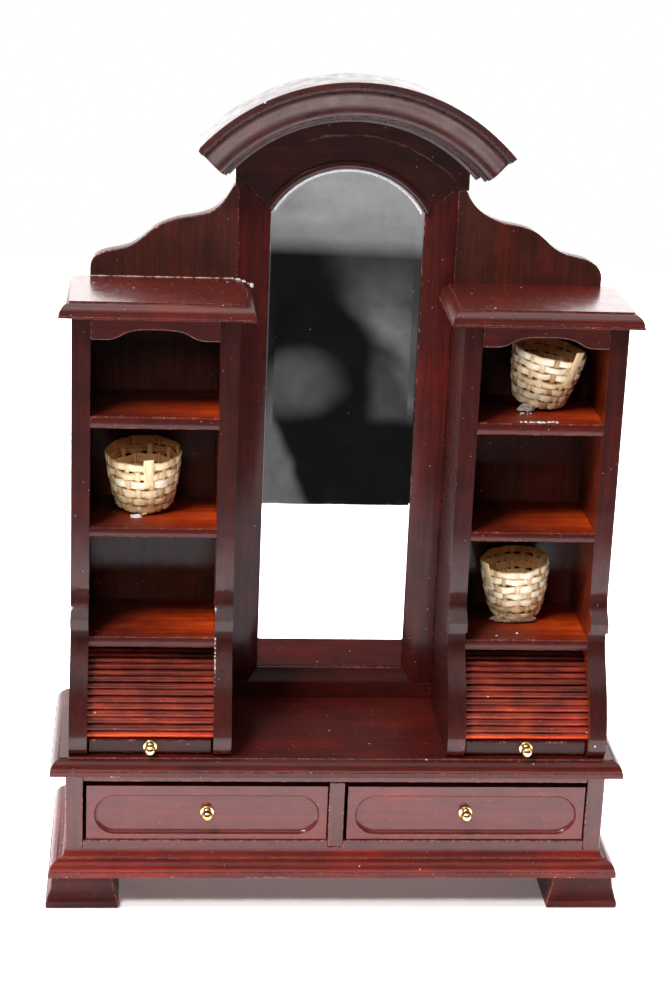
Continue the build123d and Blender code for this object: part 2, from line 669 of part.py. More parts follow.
basket_specs = {
    "left_middle": (-41.2, 26.2, SHELF_MIDDLE[1], (8.2, 6.1, 12.8, 8, 8.6, 14.0, 4, -2)),
    "right_top": (40.8, 26.2, SHELF_UPPER[1], (8.1, 5.6, 12.0, 34, 6.4, 14.2, 4, 8)),
    "right_bottom": (39.2, 26.6, SHELF_LOWER[1], (7.6, 5.6, 12.6, -58, 8.2, 14.0, 4, -5)),
}
glue = []
for place_name, (bx, setback, bz, spec) in basket_specs.items():
    cup, dab = basket_and_glue(bx, TOP_FRONT + setback, bz, spec)
    nodes[f"basket_{place_name}"] = cup
    glue.append(dab)
nodes["basket_glue"] = Compound(children=glue)

for node_name, shape in nodes.items():
    export_step(shape, os.path.join("parts", f"{node_name}.step"))
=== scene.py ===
import json
import math
import random

import bmesh
import bpy
from mathutils import Matrix, Vector, noise
from mathutils.bvhtree import BVHTree

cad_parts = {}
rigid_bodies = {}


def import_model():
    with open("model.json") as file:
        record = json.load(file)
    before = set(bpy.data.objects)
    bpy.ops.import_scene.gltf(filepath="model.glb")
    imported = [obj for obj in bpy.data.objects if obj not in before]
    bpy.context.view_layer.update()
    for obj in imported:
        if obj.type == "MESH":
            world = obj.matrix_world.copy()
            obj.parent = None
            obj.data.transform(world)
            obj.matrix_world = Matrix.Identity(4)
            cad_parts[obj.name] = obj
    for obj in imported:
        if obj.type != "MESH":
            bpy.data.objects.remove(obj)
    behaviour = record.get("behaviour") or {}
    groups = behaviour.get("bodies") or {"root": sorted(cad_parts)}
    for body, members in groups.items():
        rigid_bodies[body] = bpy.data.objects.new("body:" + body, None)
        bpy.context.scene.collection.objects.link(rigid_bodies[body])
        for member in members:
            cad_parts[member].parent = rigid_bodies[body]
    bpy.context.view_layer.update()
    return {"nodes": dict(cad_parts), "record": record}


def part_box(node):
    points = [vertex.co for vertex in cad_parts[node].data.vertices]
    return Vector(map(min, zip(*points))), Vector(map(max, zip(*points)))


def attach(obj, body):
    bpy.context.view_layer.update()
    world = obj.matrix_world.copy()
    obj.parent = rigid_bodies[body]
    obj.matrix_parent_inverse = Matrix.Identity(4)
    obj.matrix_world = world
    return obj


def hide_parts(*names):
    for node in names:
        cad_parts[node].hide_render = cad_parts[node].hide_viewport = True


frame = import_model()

MM = 0.001
NODES = frame["nodes"]
BODY_OF = {
    member: body
    for body, members in frame["record"]["behaviour"]["bodies"].items()
    for member in members
}


# ---------------------------------------------------------------- camera

CAMERA_AT = (-0.04199, -0.45218, 0.23871)
CAMERA_YAW, CAMERA_PITCH, CAMERA_ROLL = -5.05, 18.67, 2.40      # degrees; pitch is downwards
CAMERA_LENS = 82.84


def look():
    """Camera a little left of the middle, looking down on the table."""
    yaw, pitch, roll = (math.radians(a) for a in (CAMERA_YAW, CAMERA_PITCH, CAMERA_ROLL))
    right = Vector((math.cos(yaw), math.sin(yaw), 0))
    level = Vector((-math.sin(yaw), math.cos(yaw), 0))
    ahead = level * math.cos(pitch) - Vector((0, 0, math.sin(pitch)))
    up = right.cross(ahead)
    x_axis = right * math.cos(roll) + up * math.sin(roll)
    y_axis = up * math.cos(roll) - right * math.sin(roll)
    data = bpy.data.cameras.new("camera")
    data.lens = CAMERA_LENS
    data.clip_start = 0.01
    cam = bpy.data.objects.new("camera", data)
    turn = Matrix((x_axis, y_axis, -ahead)).transposed().to_4x4()
    turn.translation = Vector(CAMERA_AT)
    cam.matrix_world = turn
    bpy.context.scene.collection.objects.link(cam)
    bpy.context.scene.camera = cam


# ---------------------------------------------------------------- node helpers

LEAST_SPECK = 0.35          # smallest speck, as a share of the widest spread


class Graph:
    """Short way to add and wire shader nodes."""

    def __init__(self, tree):
        self.tree = tree
        tree.nodes.clear()

    def add(self, kind, **values):
        node = self.tree.nodes.new(kind)
        for key, value in values.items():
            setattr(node, key, value)
        return node

    def link(self, source, target):
        self.tree.links.new(source, target)

    def put(self, socket, value):
        if isinstance(value, bpy.types.NodeSocket):
            self.link(value, socket)
        else:
            socket.default_value = value

    def math(self, operation, a, b=0.0, c=0.0, clamp=False):
        node = self.add("ShaderNodeMath", operation=operation, use_clamp=clamp)
        for socket, value in zip(node.inputs, (a, b, c)):
            self.put(socket, value)
        return node.outputs[0]

    def times(self, a, b):
        return self.math("MULTIPLY", a, b)

    def ramp(self, fac, stops):
        node = self.add("ShaderNodeValToRGB")
        band = node.color_ramp
        while len(band.elements) < len(stops):
            band.elements.new(0.5)
        for element, (at, colour) in zip(band.elements, stops):
            element.position = at
            if isinstance(colour, (int, float)):
                colour = (colour, colour, colour)
            element.color = (*colour, 1.0)
        self.put(node.inputs[0], fac)
        return node.outputs[0]

    def mix(self, fac, a, b, blend="MIX"):
        node = self.add("ShaderNodeMix", data_type="RGBA", blend_type=blend)
        self.put(node.inputs[0], fac)
        for socket, value in ((node.inputs[6], a), (node.inputs[7], b)):
            if isinstance(value, tuple) and len(value) == 3:
                value = (*value, 1.0)
            self.put(socket, value)
        return node.outputs[2]

    def noise(self, vector, scale, detail=3.0, rough=0.5, warp=0.0):
        node = self.add("ShaderNodeTexNoise")
        node.inputs["Scale"].default_value = scale
        node.inputs["Detail"].default_value = detail
        node.inputs["Roughness"].default_value = rough
        node.inputs["Distortion"].default_value = warp
        self.put(node.inputs["Vector"], vector)
        return node.outputs[0]

    def map(self, vector, scale, move=(0, 0, 0)):
        node = self.add("ShaderNodeMapping")
        node.inputs["Scale"].default_value = scale
        node.inputs["Location"].default_value = move
        self.put(node.inputs[0], vector)
        return node.outputs[0]

    def coords(self, kind):
        return self.add("ShaderNodeTexCoord").outputs[kind]

    def millimetres(self, move=(0, 0, 0)):
        """Object coordinates in millimetres, shifted by move."""
        return self.map(self.coords("Object"), (1 / MM, 1 / MM, 1 / MM), move)

    def attribute(self, name):
        return self.add("ShaderNodeAttribute", attribute_name=name).outputs["Fac"]

    def split(self, vector):
        """The x, y and z of a vector."""
        node = self.add("ShaderNodeSeparateXYZ")
        self.link(vector, node.inputs[0])
        return node.outputs

    def normal(self):
        return self.split(self.add("ShaderNodeNewGeometry").outputs["Normal"])

    def soft_step(self, value, low, high):
        """0 below low, 1 above high, eased between (or the reverse if low > high)."""
        node = self.add("ShaderNodeMapRange", interpolation_type="SMOOTHSTEP")
        self.put(node.inputs[0], value)
        node.inputs[1].default_value = low
        node.inputs[2].default_value = high
        return node.outputs[0]

    def specks(self, vector, scale, radius, share):
        """Small round spots: 1 inside a spot, in only a share of the cells."""
        cell = self.add("ShaderNodeTexVoronoi", feature="F1")
        cell.inputs["Scale"].default_value = scale
        self.put(cell.inputs["Vector"], vector)
        pick = self.add("ShaderNodeSeparateColor")
        self.link(cell.outputs["Color"], pick.inputs[0])
        size = self.math("MULTIPLY_ADD", pick.outputs[1], radius, radius * LEAST_SPECK)
        inside = self.math("LESS_THAN", cell.outputs["Distance"], size)
        chosen = self.math("LESS_THAN", pick.outputs[0], share)
        return self.times(inside, chosen)


def material(name):
    mat = bpy.data.materials.new(name)
    mat.use_nodes = True
    return mat, Graph(mat.node_tree)


def finish_surface(g, bump_height=None, distance=0.0001, strength=1.0, **sockets):
    """Principled surface, with an optional bump, joined to the output."""
    shader = g.add("ShaderNodeBsdfPrincipled")
    for name, value in sockets.items():
        g.put(shader.inputs[name.replace("_", " ")], value)
    if bump_height is not None:
        bump = g.add("ShaderNodeBump")
        bump.inputs["Distance"].default_value = distance
        bump.inputs["Strength"].default_value = strength
        g.link(bump_height, bump.inputs["Height"])
        g.link(bump.outputs[0], shader.inputs["Normal"])
        g.link(bump.outputs[0], shader.inputs["Coat Normal"])
    out = g.add("ShaderNodeOutputMaterial")
    g.link(shader.outputs[0], out.inputs[0])


# ---------------------------------------------------------------- materials

SCRATCH_CENTRE = (0.44, 129.6)      # x and z, mm
SCRATCH_RADIUS = 29.4
SCRATCH_WANDER = 1.8                # mm, side to side
SCRATCH_ENDS = ((-10.0, -7.0), (23.0, 17.0))        # x over which each end fades, mm
SCRATCH_COLOUR = (0.20, 0.13, 0.12)

TONE_STOPS = (0.42, 0.62, 0.84)
WARM_TINT = (1.9, 0.95, 0.75)
PORE_TINT = (0.55, 0.5, 0.5)
BARE_WOOD = [(0.35, (0.2, 0.032, 0.018)), (0.6, (0.42, 0.13, 0.085)), (0.78, (0.78, 0.56, 0.5))]
DUST_COLOUR = (0.86, 0.8, 0.78)
GRAIN_RELIEF = 0.00005              # m


def scuff_arc(g, place):
    """Mask of a thin broken scratch that arcs across the front of the mirror header."""
    x, _, z = g.split(g.millimetres((-SCRATCH_CENTRE[0], 0.0, -SCRATCH_CENTRE[1])))
    reach = g.math("SQRT", g.math("ADD", g.times(x, x), g.times(z, z)))
    wander = g.math("MULTIPLY_ADD", g.noise(place, 0.12, 3, 0.6), SCRATCH_WANDER, -SCRATCH_WANDER / 2)
    off = g.math("ABSOLUTE", g.math("SUBTRACT", g.math("ADD", reach, wander), SCRATCH_RADIUS))
    line = g.ramp(off, [(0.0, 1.0), (0.10, 0.8), (0.24, 0.0)])
    ends = g.times(*(g.soft_step(x, *end) for end in SCRATCH_ENDS))
    broken = g.ramp(g.noise(place, 0.5, 3, 0.6), [(0.38, 0.1), (0.56, 1.0)])
    front = g.soft_step(g.normal()[1], -0.5, -0.8)
    return g.times(g.times(line, ends), g.times(broken, front))


def stretched(g, place, grain, share):
    """Coordinates drawn out along the grain."""
    scale = [1.0, 1.0, 1.0]
    scale["xyz".index(grain)] = share
    return g.map(place, tuple(scale))


def painted_light_share(g, axis, sign):
    """Painted light: how much of the lit tones a face takes, by its direction and its place in the piece."""
    facing = g.ramp(g.times(g.normal()[axis], sign), [(0.6, 0.0), (0.9, 1.0)])
    if axis == 0:
        return facing
    x, y, z = g.split(g.coords("Generated"))
    if axis == 1:       # painted light: only the strip at the foot of the piece
        return g.ramp(z, [(0.0, 1.0), (0.055, 1.0), (0.085, 0.0)])
    # painted pool of light: more of the lit tones towards the right and the back of the piece
    aside = g.ramp(x, [(0.0, 0.03), (0.3, 0.2), (0.65, 0.6), (0.98, 1.0)])
    inward = g.ramp(y, [(0.0, 0.3), (0.3, 0.8), (0.7, 1.0)])
    return g.times(facing, g.times(aside, inward))


def wood(name, grain, tones, wear, dust, seed, gloss, coat, painted_light_face, scratched):
    """Stained and lacquered mahogany. grain is the axis the fibres run along."""
    mat, g = material(name)
    place = g.millimetres((seed, seed * 1.7, seed * 2.3))
    along = stretched(g, place, grain, 0.05)
    wavy = g.noise(along, 0.9, 3, 0.55, 0.35)
    fibre = g.noise(along, 3.6, 5, 0.62, 0.2)
    pores = g.noise(stretched(g, place, grain, 0.11), 7.0, 2, 0.5)
    blotch = g.noise(place, 0.16, 4, 0.6)
    tone = g.math("MULTIPLY_ADD", wavy, 0.5, g.times(fibre, 0.38))
    tone = g.math("MULTIPLY_ADD", blotch, 0.42, tone)
    colour = g.ramp(tone, list(zip(TONE_STOPS, tones)))
    warm = g.noise(stretched(g, place, grain, 0.3), 0.11, 3, 0.55)
    warm = g.ramp(warm, [(0.5, 0.0), (0.72, 0.55)])
    colour = g.mix(warm, colour, g.mix(1.0, colour, WARM_TINT, "MULTIPLY"))
    # painted light: faces turned towards the key take the lit tones
    if painted_light_face:
        axis, sign, lit_tones = painted_light_face
        lit_colour = g.ramp(tone, list(zip(TONE_STOPS, lit_tones)))
        colour = g.mix(painted_light_share(g, axis, sign), colour, lit_colour)
    pore = g.ramp(pores, [(0.28, 0.0), (0.38, 1.0)])
    colour = g.mix(pore, g.mix(1.0, colour, PORE_TINT, "MULTIPLY"), colour)

    chips = g.noise(place, 0.55, 4, 0.7)
    fine = g.noise(place, 2.4, 3, 0.6)
    worn = g.math("MULTIPLY_ADD", chips, 0.65, g.times(fine, 0.35))
    rub = g.ramp(worn, [(0.64 - 0.2 * wear, 0.0), (0.74 - 0.2 * wear, 1.0)])
    rub = g.times(rub, g.attribute("edge"))
    colour = g.mix(g.times(rub, 0.7), colour, g.ramp(fine, BARE_WOOD))
    if scratched:
        colour = g.mix(g.times(scuff_arc(g, place), 0.6), colour, SCRATCH_COLOUR)
    grit = g.specks(place, 1.9, 0.11, dust * 1.6)
    spots = g.math("MAXIMUM", g.specks(place, 0.62, 0.13, dust), grit)
    colour = g.mix(g.times(spots, 0.85), colour, DUST_COLOUR)

    smear = g.noise(place, 0.35, 3, 0.6)
    rough = g.ramp(smear, [(0.3, gloss * 0.8), (0.7, gloss * 1.5)])
    rough = g.mix(spots, rough, (0.9, 0.9, 0.9))
    film = g.math("SUBTRACT", 1.0, g.math("MAXIMUM", g.times(rub, 0.6), spots), clamp=True)
    ripple = g.noise(place, 0.45, 2, 0.5)
    height = g.math("MULTIPLY_ADD", fibre, 0.2, g.times(pore, 0.12))
    for layer, depth in ((ripple, 0.08), (rub, -0.25), (spots, 0.8)):
        height = g.math("MULTIPLY_ADD", layer, depth, height)
    finish_surface(
        g, height, GRAIN_RELIEF, 1.0, Base_Color=colour, Roughness=0.55, Specular_IOR_Level=0.12,
        Coat_Weight=g.times(film, coat), Coat_Roughness=rough, Coat_IOR=1.5, IOR=1.4,
    )
    return mat


def brass():
    """Polished brass, slightly stained."""
    mat, g = material("knob_brass")
    place = g.millimetres()
    stain = g.noise(place, 0.9, 4, 0.6)
    colour = g.ramp(stain, [(0.35, (0.62, 0.38, 0.12)), (0.6, (0.93, 0.7, 0.36)), (0.8, (1.0, 0.82, 0.5))])
    rough = g.ramp(g.noise(place, 3.0, 3, 0.6), [(0.3, 0.09), (0.7, 0.22)])
    relief = g.noise(place, 5.0, 2)
    finish_surface(g, relief, 0.00001, 0.5, Base_Color=colour, Roughness=rough, Metallic=1.0)
    return mat


def mirror_glass():
    """Silvered glass; the frost_and_glow attribute marks its ground edge, which is dulled and also given a
    painted glow standing in for its highlight.
    """
    mat, g = material("silvered_glass")
    place = g.millimetres()
    frost_and_glow = g.attribute("frost_and_glow")
    spots = g.math("MAXIMUM", g.specks(place, 0.7, 0.06, 0.08), g.specks(place, 2.2, 0.09, 0.04))
    dull = g.math("MAXIMUM", spots, g.times(frost_and_glow, 0.93))
    smear = g.noise(g.map(place, (1, 1, 0.35)), 0.22, 5, 0.7)
    colour = g.mix(dull, (0.93, 0.92, 0.93), (0.86, 0.85, 0.89))
    rough = g.ramp(smear, [(0.42, 0.0), (0.75, 0.035)])
    rough = g.mix(dull, rough, (0.8, 0.8, 0.8))
    finish_surface(
        g, None, Base_Color=colour, Roughness=rough, Metallic=g.math("SUBTRACT", 1.0, dull),
        # painted highlight: the ground edge gives off light so it stays pale under the bead's shade
        Emission_Color=(0.86, 0.84, 0.92, 1), Emission_Strength=g.times(frost_and_glow, 0.45),
    )
    return mat


def splint(name, tones):
    """Split bamboo strip: fibres follow the strip through its own coordinates."""
    mat, g = material(name)
    strip = g.add("ShaderNodeUVMap", uv_map="strip").outputs[0]
    fibre = g.noise(g.map(strip, (0.30, 9, 1)), 1.0, 5, 0.7, 0.1)
    bands = g.noise(g.map(strip, (0.1, 3, 1)), 1.0, 2, 0.5)
    mottle = g.noise(g.millimetres(), 0.45, 4, 0.6)
    tone = g.math("MULTIPLY_ADD", fibre, 0.55, g.times(bands, 0.25))
    tone = g.math("MULTIPLY_ADD", mottle, 0.2, tone)
    tone = g.math("ADD", tone, g.math("MULTIPLY_ADD", g.attribute("shade"), 0.3, -0.15))
    tone = g.math("SUBTRACT", tone, g.times(g.attribute("rim"), 0.14))
    colour = g.ramp(tone, list(zip((0.26, 0.44, 0.62), tones)))
    # faces that look in towards the middle of the basket are tinted a deeper golden brown
    inward_tint = g.mix(1.0, colour, (1.0, 0.62, 0.26), "MULTIPLY")
    colour = g.mix(g.times(g.attribute("inside"), 0.75), colour, inward_tint)
    rough = g.ramp(fibre, [(0.3, 0.38), (0.7, 0.58)])
    finish_surface(g, fibre, 0.00008, 0.9, Base_Color=colour, Roughness=rough)
    return mat


def cloth():
    """Plain weave behind the tambour slats."""
    mat, g = material("tambour_cloth")
    place = g.millimetres()
    threads = []
    for axis in ("X", "Z"):
        wave = g.add("ShaderNodeTexWave", wave_type="BANDS", bands_direction=axis)
        wave.inputs["Scale"].default_value = 1.3
        wave.inputs["Distortion"].default_value = 0.6
        g.link(place, wave.inputs["Vector"])
        threads.append(wave.outputs["Fac"])
    weave_height = g.times(*threads)
    colour = g.ramp(weave_height, [(0.1, (0.05, 0.03, 0.022)), (0.8, (0.2, 0.12, 0.085))])
    finish_surface(g, weave_height, 0.00005, 0.8, Base_Color=colour, Roughness=0.95, Sheen_Weight=0.3)
    return mat


def chalky(name, tones, stops=(0.35, 0.62), scale=3.0, detail=4, relief=0.00005, strength=0.8, rough=0.85):
    """Dry, matt material: card, broken wood, and pale specks of painted glint."""
    mat, g = material(name)
    grit = g.noise(g.millimetres(), scale, detail, 0.7)
    colour = g.ramp(grit, list(zip(stops, tones)))
    finish_surface(g, grit, relief, strength, Base_Color=colour, Roughness=rough)
    return mat


def adhesive(name, tones, clear):
    """Dried glue; clear is how much light it lets through."""
    mat, g = material(name)
    place = g.millimetres()
    cloud = g.noise(place, 1.6, 5, 0.7)
    colour = g.ramp(cloud, list(zip((0.35, 0.62), tones)))
    rough = g.ramp(g.noise(place, 0.8, 2), [(0.4, 0.06), (0.7, 0.25)])
    finish_surface(
        g, cloud, 0.0004, 1.0, Base_Color=colour, Roughness=rough, Transmission_Weight=clear, IOR=1.45,
    )
    return mat


# ---------------------------------------------------------------- mesh helpers

WELD = 2e-6                         # m
FLAT_ENOUGH = math.radians(0.6)     # faces that meet at less are joined into one
ARRIS = math.radians(26)            # edges sharper than this are eased


def place_piece(name, bm, mat, body, replaced=(), smooth=True):
    """Turn a bmesh into a finished piece that rides on its body."""
    mesh = bpy.data.meshes.new(name)
    bm.to_mesh(mesh)
    bm.free()
    if smooth:
        mesh.polygons.foreach_set("use_smooth", [True] * len(mesh.polygons))
    mesh.materials.append(mat)
    obj = bpy.data.objects.new(name, mesh)
    bpy.context.scene.collection.objects.link(obj)
    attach(obj, body)
    if replaced:
        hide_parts(*replaced)
    return obj


def loft(bm, first, second):
    """Quads between two rings of vertices: (place in the ring, next place, face) for each."""
    made = []
    for k in range(len(first)):
        j = (k + 1) % len(first)
        made.append((k, j, bm.faces.new((first[k], first[j], second[j], second[k]))))
    return made


def weigh_normals(obj):
    """Keep broad faces flat and let the rounded arrises carry the curve."""
    mod = obj.modifiers.new("normals", "WEIGHTED_NORMAL")
    mod.mode = "FACE_AREA"
    mod.weight = 60
    mod.keep_sharp = True


def bevel(bm, edges, width, segments):
    """Round the given edges and return the new faces."""
    made = bmesh.ops.bevel(
        bm, geom=edges, offset=width, offset_type="OFFSET", segments=segments,
        profile=0.5, affect="EDGES", clamp_overlap=True,
    )
    return made["faces"]


def eased(node, width, mat):
    """Board with eased arrises, marked as edges that wear, in place of its CAD node."""
    bm = bmesh.new()
    bm.from_mesh(NODES[node].data)
    bmesh.ops.remove_doubles(bm, verts=bm.verts, dist=WELD)
    bmesh.ops.dissolve_limit(bm, angle_limit=FLAT_ENOUGH, verts=bm.verts, edges=bm.edges)
    layer = bm.loops.layers.float.new("edge")
    sharp = [e for e in bm.edges if len(e.link_faces) == 2 and e.calc_face_angle(0) > ARRIS]
    for face in bevel(bm, sharp, width, 2):
        for loop in face.loops:
            loop[layer] = 1.0
    weigh_normals(place_piece("wood_" + node, bm, mat, BODY_OF[node], (node,)))


# ---------------------------------------------------------------- wood

DARK = ((0.012, 0.0026, 0.0020), (0.024, 0.0042, 0.0029), (0.050, 0.0068, 0.0042))
SIDE = ((0.016, 0.0028, 0.0022), (0.030, 0.0044, 0.0032), (0.058, 0.0074, 0.0046))
OUTER = ((0.030, 0.0046, 0.0032), (0.052, 0.0066, 0.0046), (0.086, 0.0105, 0.0064))
CROWN = ((0.013, 0.0021, 0.0016), (0.024, 0.0031, 0.0023), (0.044, 0.0050, 0.0033))
STILE = ((0.026, 0.0036, 0.0027), (0.050, 0.0056, 0.0040), (0.098, 0.0100, 0.0062))
BACK = ((0.020, 0.0066, 0.0046), (0.040, 0.0110, 0.0074), (0.080, 0.0160, 0.0105))
CASE = ((0.042, 0.0058, 0.0046), (0.066, 0.0083, 0.0066), (0.105, 0.0125, 0.0088))
DRAWER = ((0.072, 0.0095, 0.0075), (0.110, 0.0130, 0.0100), (0.165, 0.0200, 0.0140))
PLINTH = ((0.050, 0.0054, 0.0034), (0.098, 0.0092, 0.0056), (0.175, 0.0155, 0.0088))
FOOT = ((0.014, 0.0024, 0.0019), (0.036, 0.0044, 0.0034), (0.078, 0.0080, 0.0055))
TOP = ((0.030, 0.0034, 0.0022), (0.056, 0.0054, 0.0034), (0.100, 0.0090, 0.0052))
LID = ((0.038, 0.0054, 0.0036), (0.066, 0.0076, 0.0050), (0.105, 0.0125, 0.0074))
# painted light: brighter orange copies of the tones for where the key light falls on the shelf tops, the foot
# of the slats and the compartments' walls
LIT_SHELF_TOP = ((0.24, 0.0160, 0.0025), (0.58, 0.0480, 0.0050), (0.85, 0.1300, 0.0130))
LIT_SLAT_FOOT = ((0.30, 0.020, 0.004), (0.62, 0.045, 0.008), (0.85, 0.12, 0.02))
LIT_WALL = ((0.040, 0.0060, 0.0030), (0.120, 0.0150, 0.0050), (0.230, 0.0350, 0.0080))
SLAT = ((0.018, 0.0028, 0.0020), (0.130, 0.0125, 0.0070), (0.42, 0.050, 0.016))
# tones, wear, dust, gloss, coat, and the face with painted light: axis, sign and its lit tones
KINDS = {
    "outer": (OUTER, 0.7, 0.012, 0.10, 0.85, None),
    "side": (SIDE, 0.7, 0.02, 0.11, 0.6, None),
    "wall": (SIDE, 0.7, 0.02, 0.11, 0.6, (0, -1, LIT_WALL)),
    "stile": (STILE, 0.6, 0.014, 0.12, 0.28, None),
    "back": (BACK, 0.6, 0.010, 0.13, 0.28, None),
    "lip": (SIDE, 0.6, 0.012, 0.14, 0.28, None),
    "crown": (CROWN, 0.3, 0.004, 0.27, 0.85, None),
    "header": (DARK, 0.5, 0.016, 0.11, 0.5, None),
    "case": (CASE, 0.85, 0.012, 0.11, 0.85, None),
    "drawer": (DRAWER, 0.85, 0.012, 0.11, 0.85, None),
    "plinth": (PLINTH, 0.95, 0.04, 0.12, 0.40, None),
    "foot": (FOOT, 0.9, 0.02, 0.2, 0.22, None),
    "shelf": (OUTER, 0.7, 0.016, 0.16, 0.36, (2, 1, LIT_SHELF_TOP)),
    "slat": (SLAT, 1.0, 0.04, 0.14, 0.42, (1, -1, LIT_SLAT_FOOT)),
    "top": (TOP, 0.9, 0.05, 0.10, 0.40, None),
    "lid": (LID, 0.9, 0.13, 0.15, 1.0, None),
}

# the first word found in a node's name gives its kind; the rest are "outer"
KIND_WORDS = (
    ("top_board", "lid"), ("mirror_header", "header"), ("table_top", "top"), ("shelf", "shelf"),
    ("foot", "foot"), ("plinth", "plinth"), ("cove", "plinth"), ("drawer", "drawer"), ("case", "case"),
    ("cabinet_left_inner_side", "wall"), ("cabinet_right_outer_side", "wall"),
    ("outer_side", "side"), ("inner_side", "side"), ("lip_rail", "lip"),
    ("back_board", "back"), ("stile", "stile"), ("slats", "slat"),
)
GRAIN_WORDS = (
    ("drawer_left_sides", "y"), ("drawer_right_sides", "y"),
    ("side", "z"), ("stile", "z"), ("back_board", "z"), ("divider", "z"), ("case_back", "z"),
)
EDGE_WORDS = (      # width of the eased arris, mm
    ("top_board", 0.16), ("table_top", 0.16), ("plinth_board", 0.16), ("slats", 0.06), ("cove", 0.06),
    ("valance", 0.3), ("shelf", 0.3),
)
USUAL_EDGE = 0.28
NOT_BOARDS = ("cornice", "bead", "knob", "glass", "backing", "basket", "canvas")

WOODS = {}


def by_word(name, table, otherwise):
    """Value of the first word in the table that the name holds."""
    return next((value for word, value in table if word in name), otherwise)


def wood_for(kind, grain):
    key = (kind, grain)
    if key not in WOODS:
        tones, wear, dust, gloss, coat, painted_light_face = KINDS[kind]
        seed = 3.1 * len(WOODS) + 1.3
        WOODS[key] = wood(
            f"mahogany_{kind}_{grain}", grain, tones, wear, dust, seed, gloss, coat, painted_light_face,
            scratched=kind == "header",
        )
    return WOODS[key]


def wood_pieces():
    for node in sorted(NODES):
        if any(word in node for word in NOT_BOARDS):
            continue
        kind = by_word(node, KIND_WORDS, "outer")
        grain = by_word(node, GRAIN_WORDS, "x")
        eased(node, by_word(node, EDGE_WORDS, USUAL_EDGE) * MM, wood_for(kind, grain))


# ---------------------------------------------------------------- turned and swept pieces

SHARP_CORNER = math.radians(24)
SUNK = 0.02                         # how far an applied moulding is let into its board, mm


def rounded(points, radius, steps=4):
    """Closed profile with each sharp corner rounded: (point, 1 where an arris wears)."""
    out = []
    count = len(points)
    for i, here in enumerate(points):
        a = Vector(points[i - 1])
        b = Vector(here)
        c = Vector(points[(i + 1) % count])
        to_a, to_c = (a - b), (c - b)
        bend = math.pi - to_a.angle(to_c)
        if bend <= SHARP_CORNER:
            out.append((b, 0.0))
            continue
        cut = min(radius * math.tan(bend / 2), to_a.length * 0.45, to_c.length * 0.45)
        p, q = b + to_a.normalized() * cut, b + to_c.normalized() * cut
        for k in range(steps + 1):
            t = k / steps
            spot = p * (1 - t) ** 2 + b * 2 * t * (1 - t) + q * t ** 2
            out.append((spot, 1.0 if k < steps else 0.0))
    return out


def sweep_arch(node, profile, centre, spread, kind, ease, steps=72, tips=(-99, 99), soft_ends=0.0):
    """Sweep a (y, radius) profile in mm around a front-to-back axis, spread degrees each way."""
    ring = rounded(profile, ease)
    bm = bmesh.new()
    layer = bm.loops.layers.float.new("edge")
    rows = []
    for step in range(steps + 1):
        a = math.radians(-spread + 2 * spread * step / steps)
        row = []
        for (y, r), _ in ring:
            x = min(max(centre[0] + r * math.sin(a), tips[0]), tips[1])
            row.append(bm.verts.new((x * MM, y * MM, (centre[1] + r * math.cos(a)) * MM)))
        rows.append(row)
    for first, second in zip(rows, rows[1:]):
        for i, _, face in loft(bm, first, second):
            for loop in face.loops:
                loop[layer] = ring[i][1]
    caps = [bm.faces.new(rows[0][::-1]), bm.faces.new(rows[-1])]
    bmesh.ops.recalc_face_normals(bm, faces=bm.faces)
    if soft_ends:
        bevel(bm, [e for cap in caps for e in cap.edges], soft_ends * MM, 3)
    obj = place_piece("wood_" + node.removeprefix("mirror_"), bm, wood_for(kind, "x"),
                      BODY_OF[node], (node,))
    obj.data.set_sharp_from_angle(angle=math.radians(50))
    weigh_normals(obj)


def hollow(a, b, bulge, steps):
    """Arc of points from a to b; bulge is its rise over the chord, left of travel."""
    a, b = Vector(a), Vector(b)
    chord = b - a
    side = Vector((-chord.y, chord.x)).normalized()
    out = []
    for k in range(1, steps):
        t = k / steps
        out.append(tuple(a + chord * t + side * bulge * math.sin(math.pi * t)))
    return out


def smooth_curve(points, steps=4):
    """Points of a smooth curve through the given ones, without the first."""
    out = []
    spots = [Vector(p) for p in points]
    for i in range(len(spots) - 1):
        p1, p2 = spots[i], spots[i + 1]
        p0 = spots[i - 1] if i else p1 * 2 - p2
        p3 = spots[i + 2] if i + 2 < len(spots) else p2 * 2 - p1
        for k in range(1, steps + 1):
            t = k / steps
            spot = p1 * 2 + (p2 - p0) * t + (p0 * 2 - p1 * 5 + p2 * 4 - p3) * t ** 2
            spot += (p1 * 3 - p0 - p2 * 3 + p3) * t ** 3
            out.append(tuple(spot * 0.5))
    return out


ARCH_Z = 133.5              # centre of the glass arch and of the bead round it
CROWN_CENTRE = (0.6, 127.8)         # x and z
CROWN_SPREAD = 48.5                 # degrees to each side
CROWN_TOP = 43.2                    # outer radius
CROWN_HOOD = 40.75                  # radius of the rear ledge, over the header
CROWN_HEEL = 33.8                   # radius where it meets the header's face
CROWN_LIP = 35.2                    # radius of the inner edge
# depth behind the front face and radius, from the lip over the nose to the step
CROWN_NOSE = (
    (1.9, 35.85), (1.2, 35.95), (0.65, 36.25), (0.3, 36.7), (0.12, 37.2), (0.08, 37.7),
    (0.16, 38.2), (0.38, 38.85), (0.72, 39.5), (1.06, 40.1), (1.28, 40.7), (1.36, 41.3),
)
BEAD_INNER, BEAD_OUTER, BEAD_RISE = 18.65, 20.25, 0.53
BEAD_SPREAD = 59.0


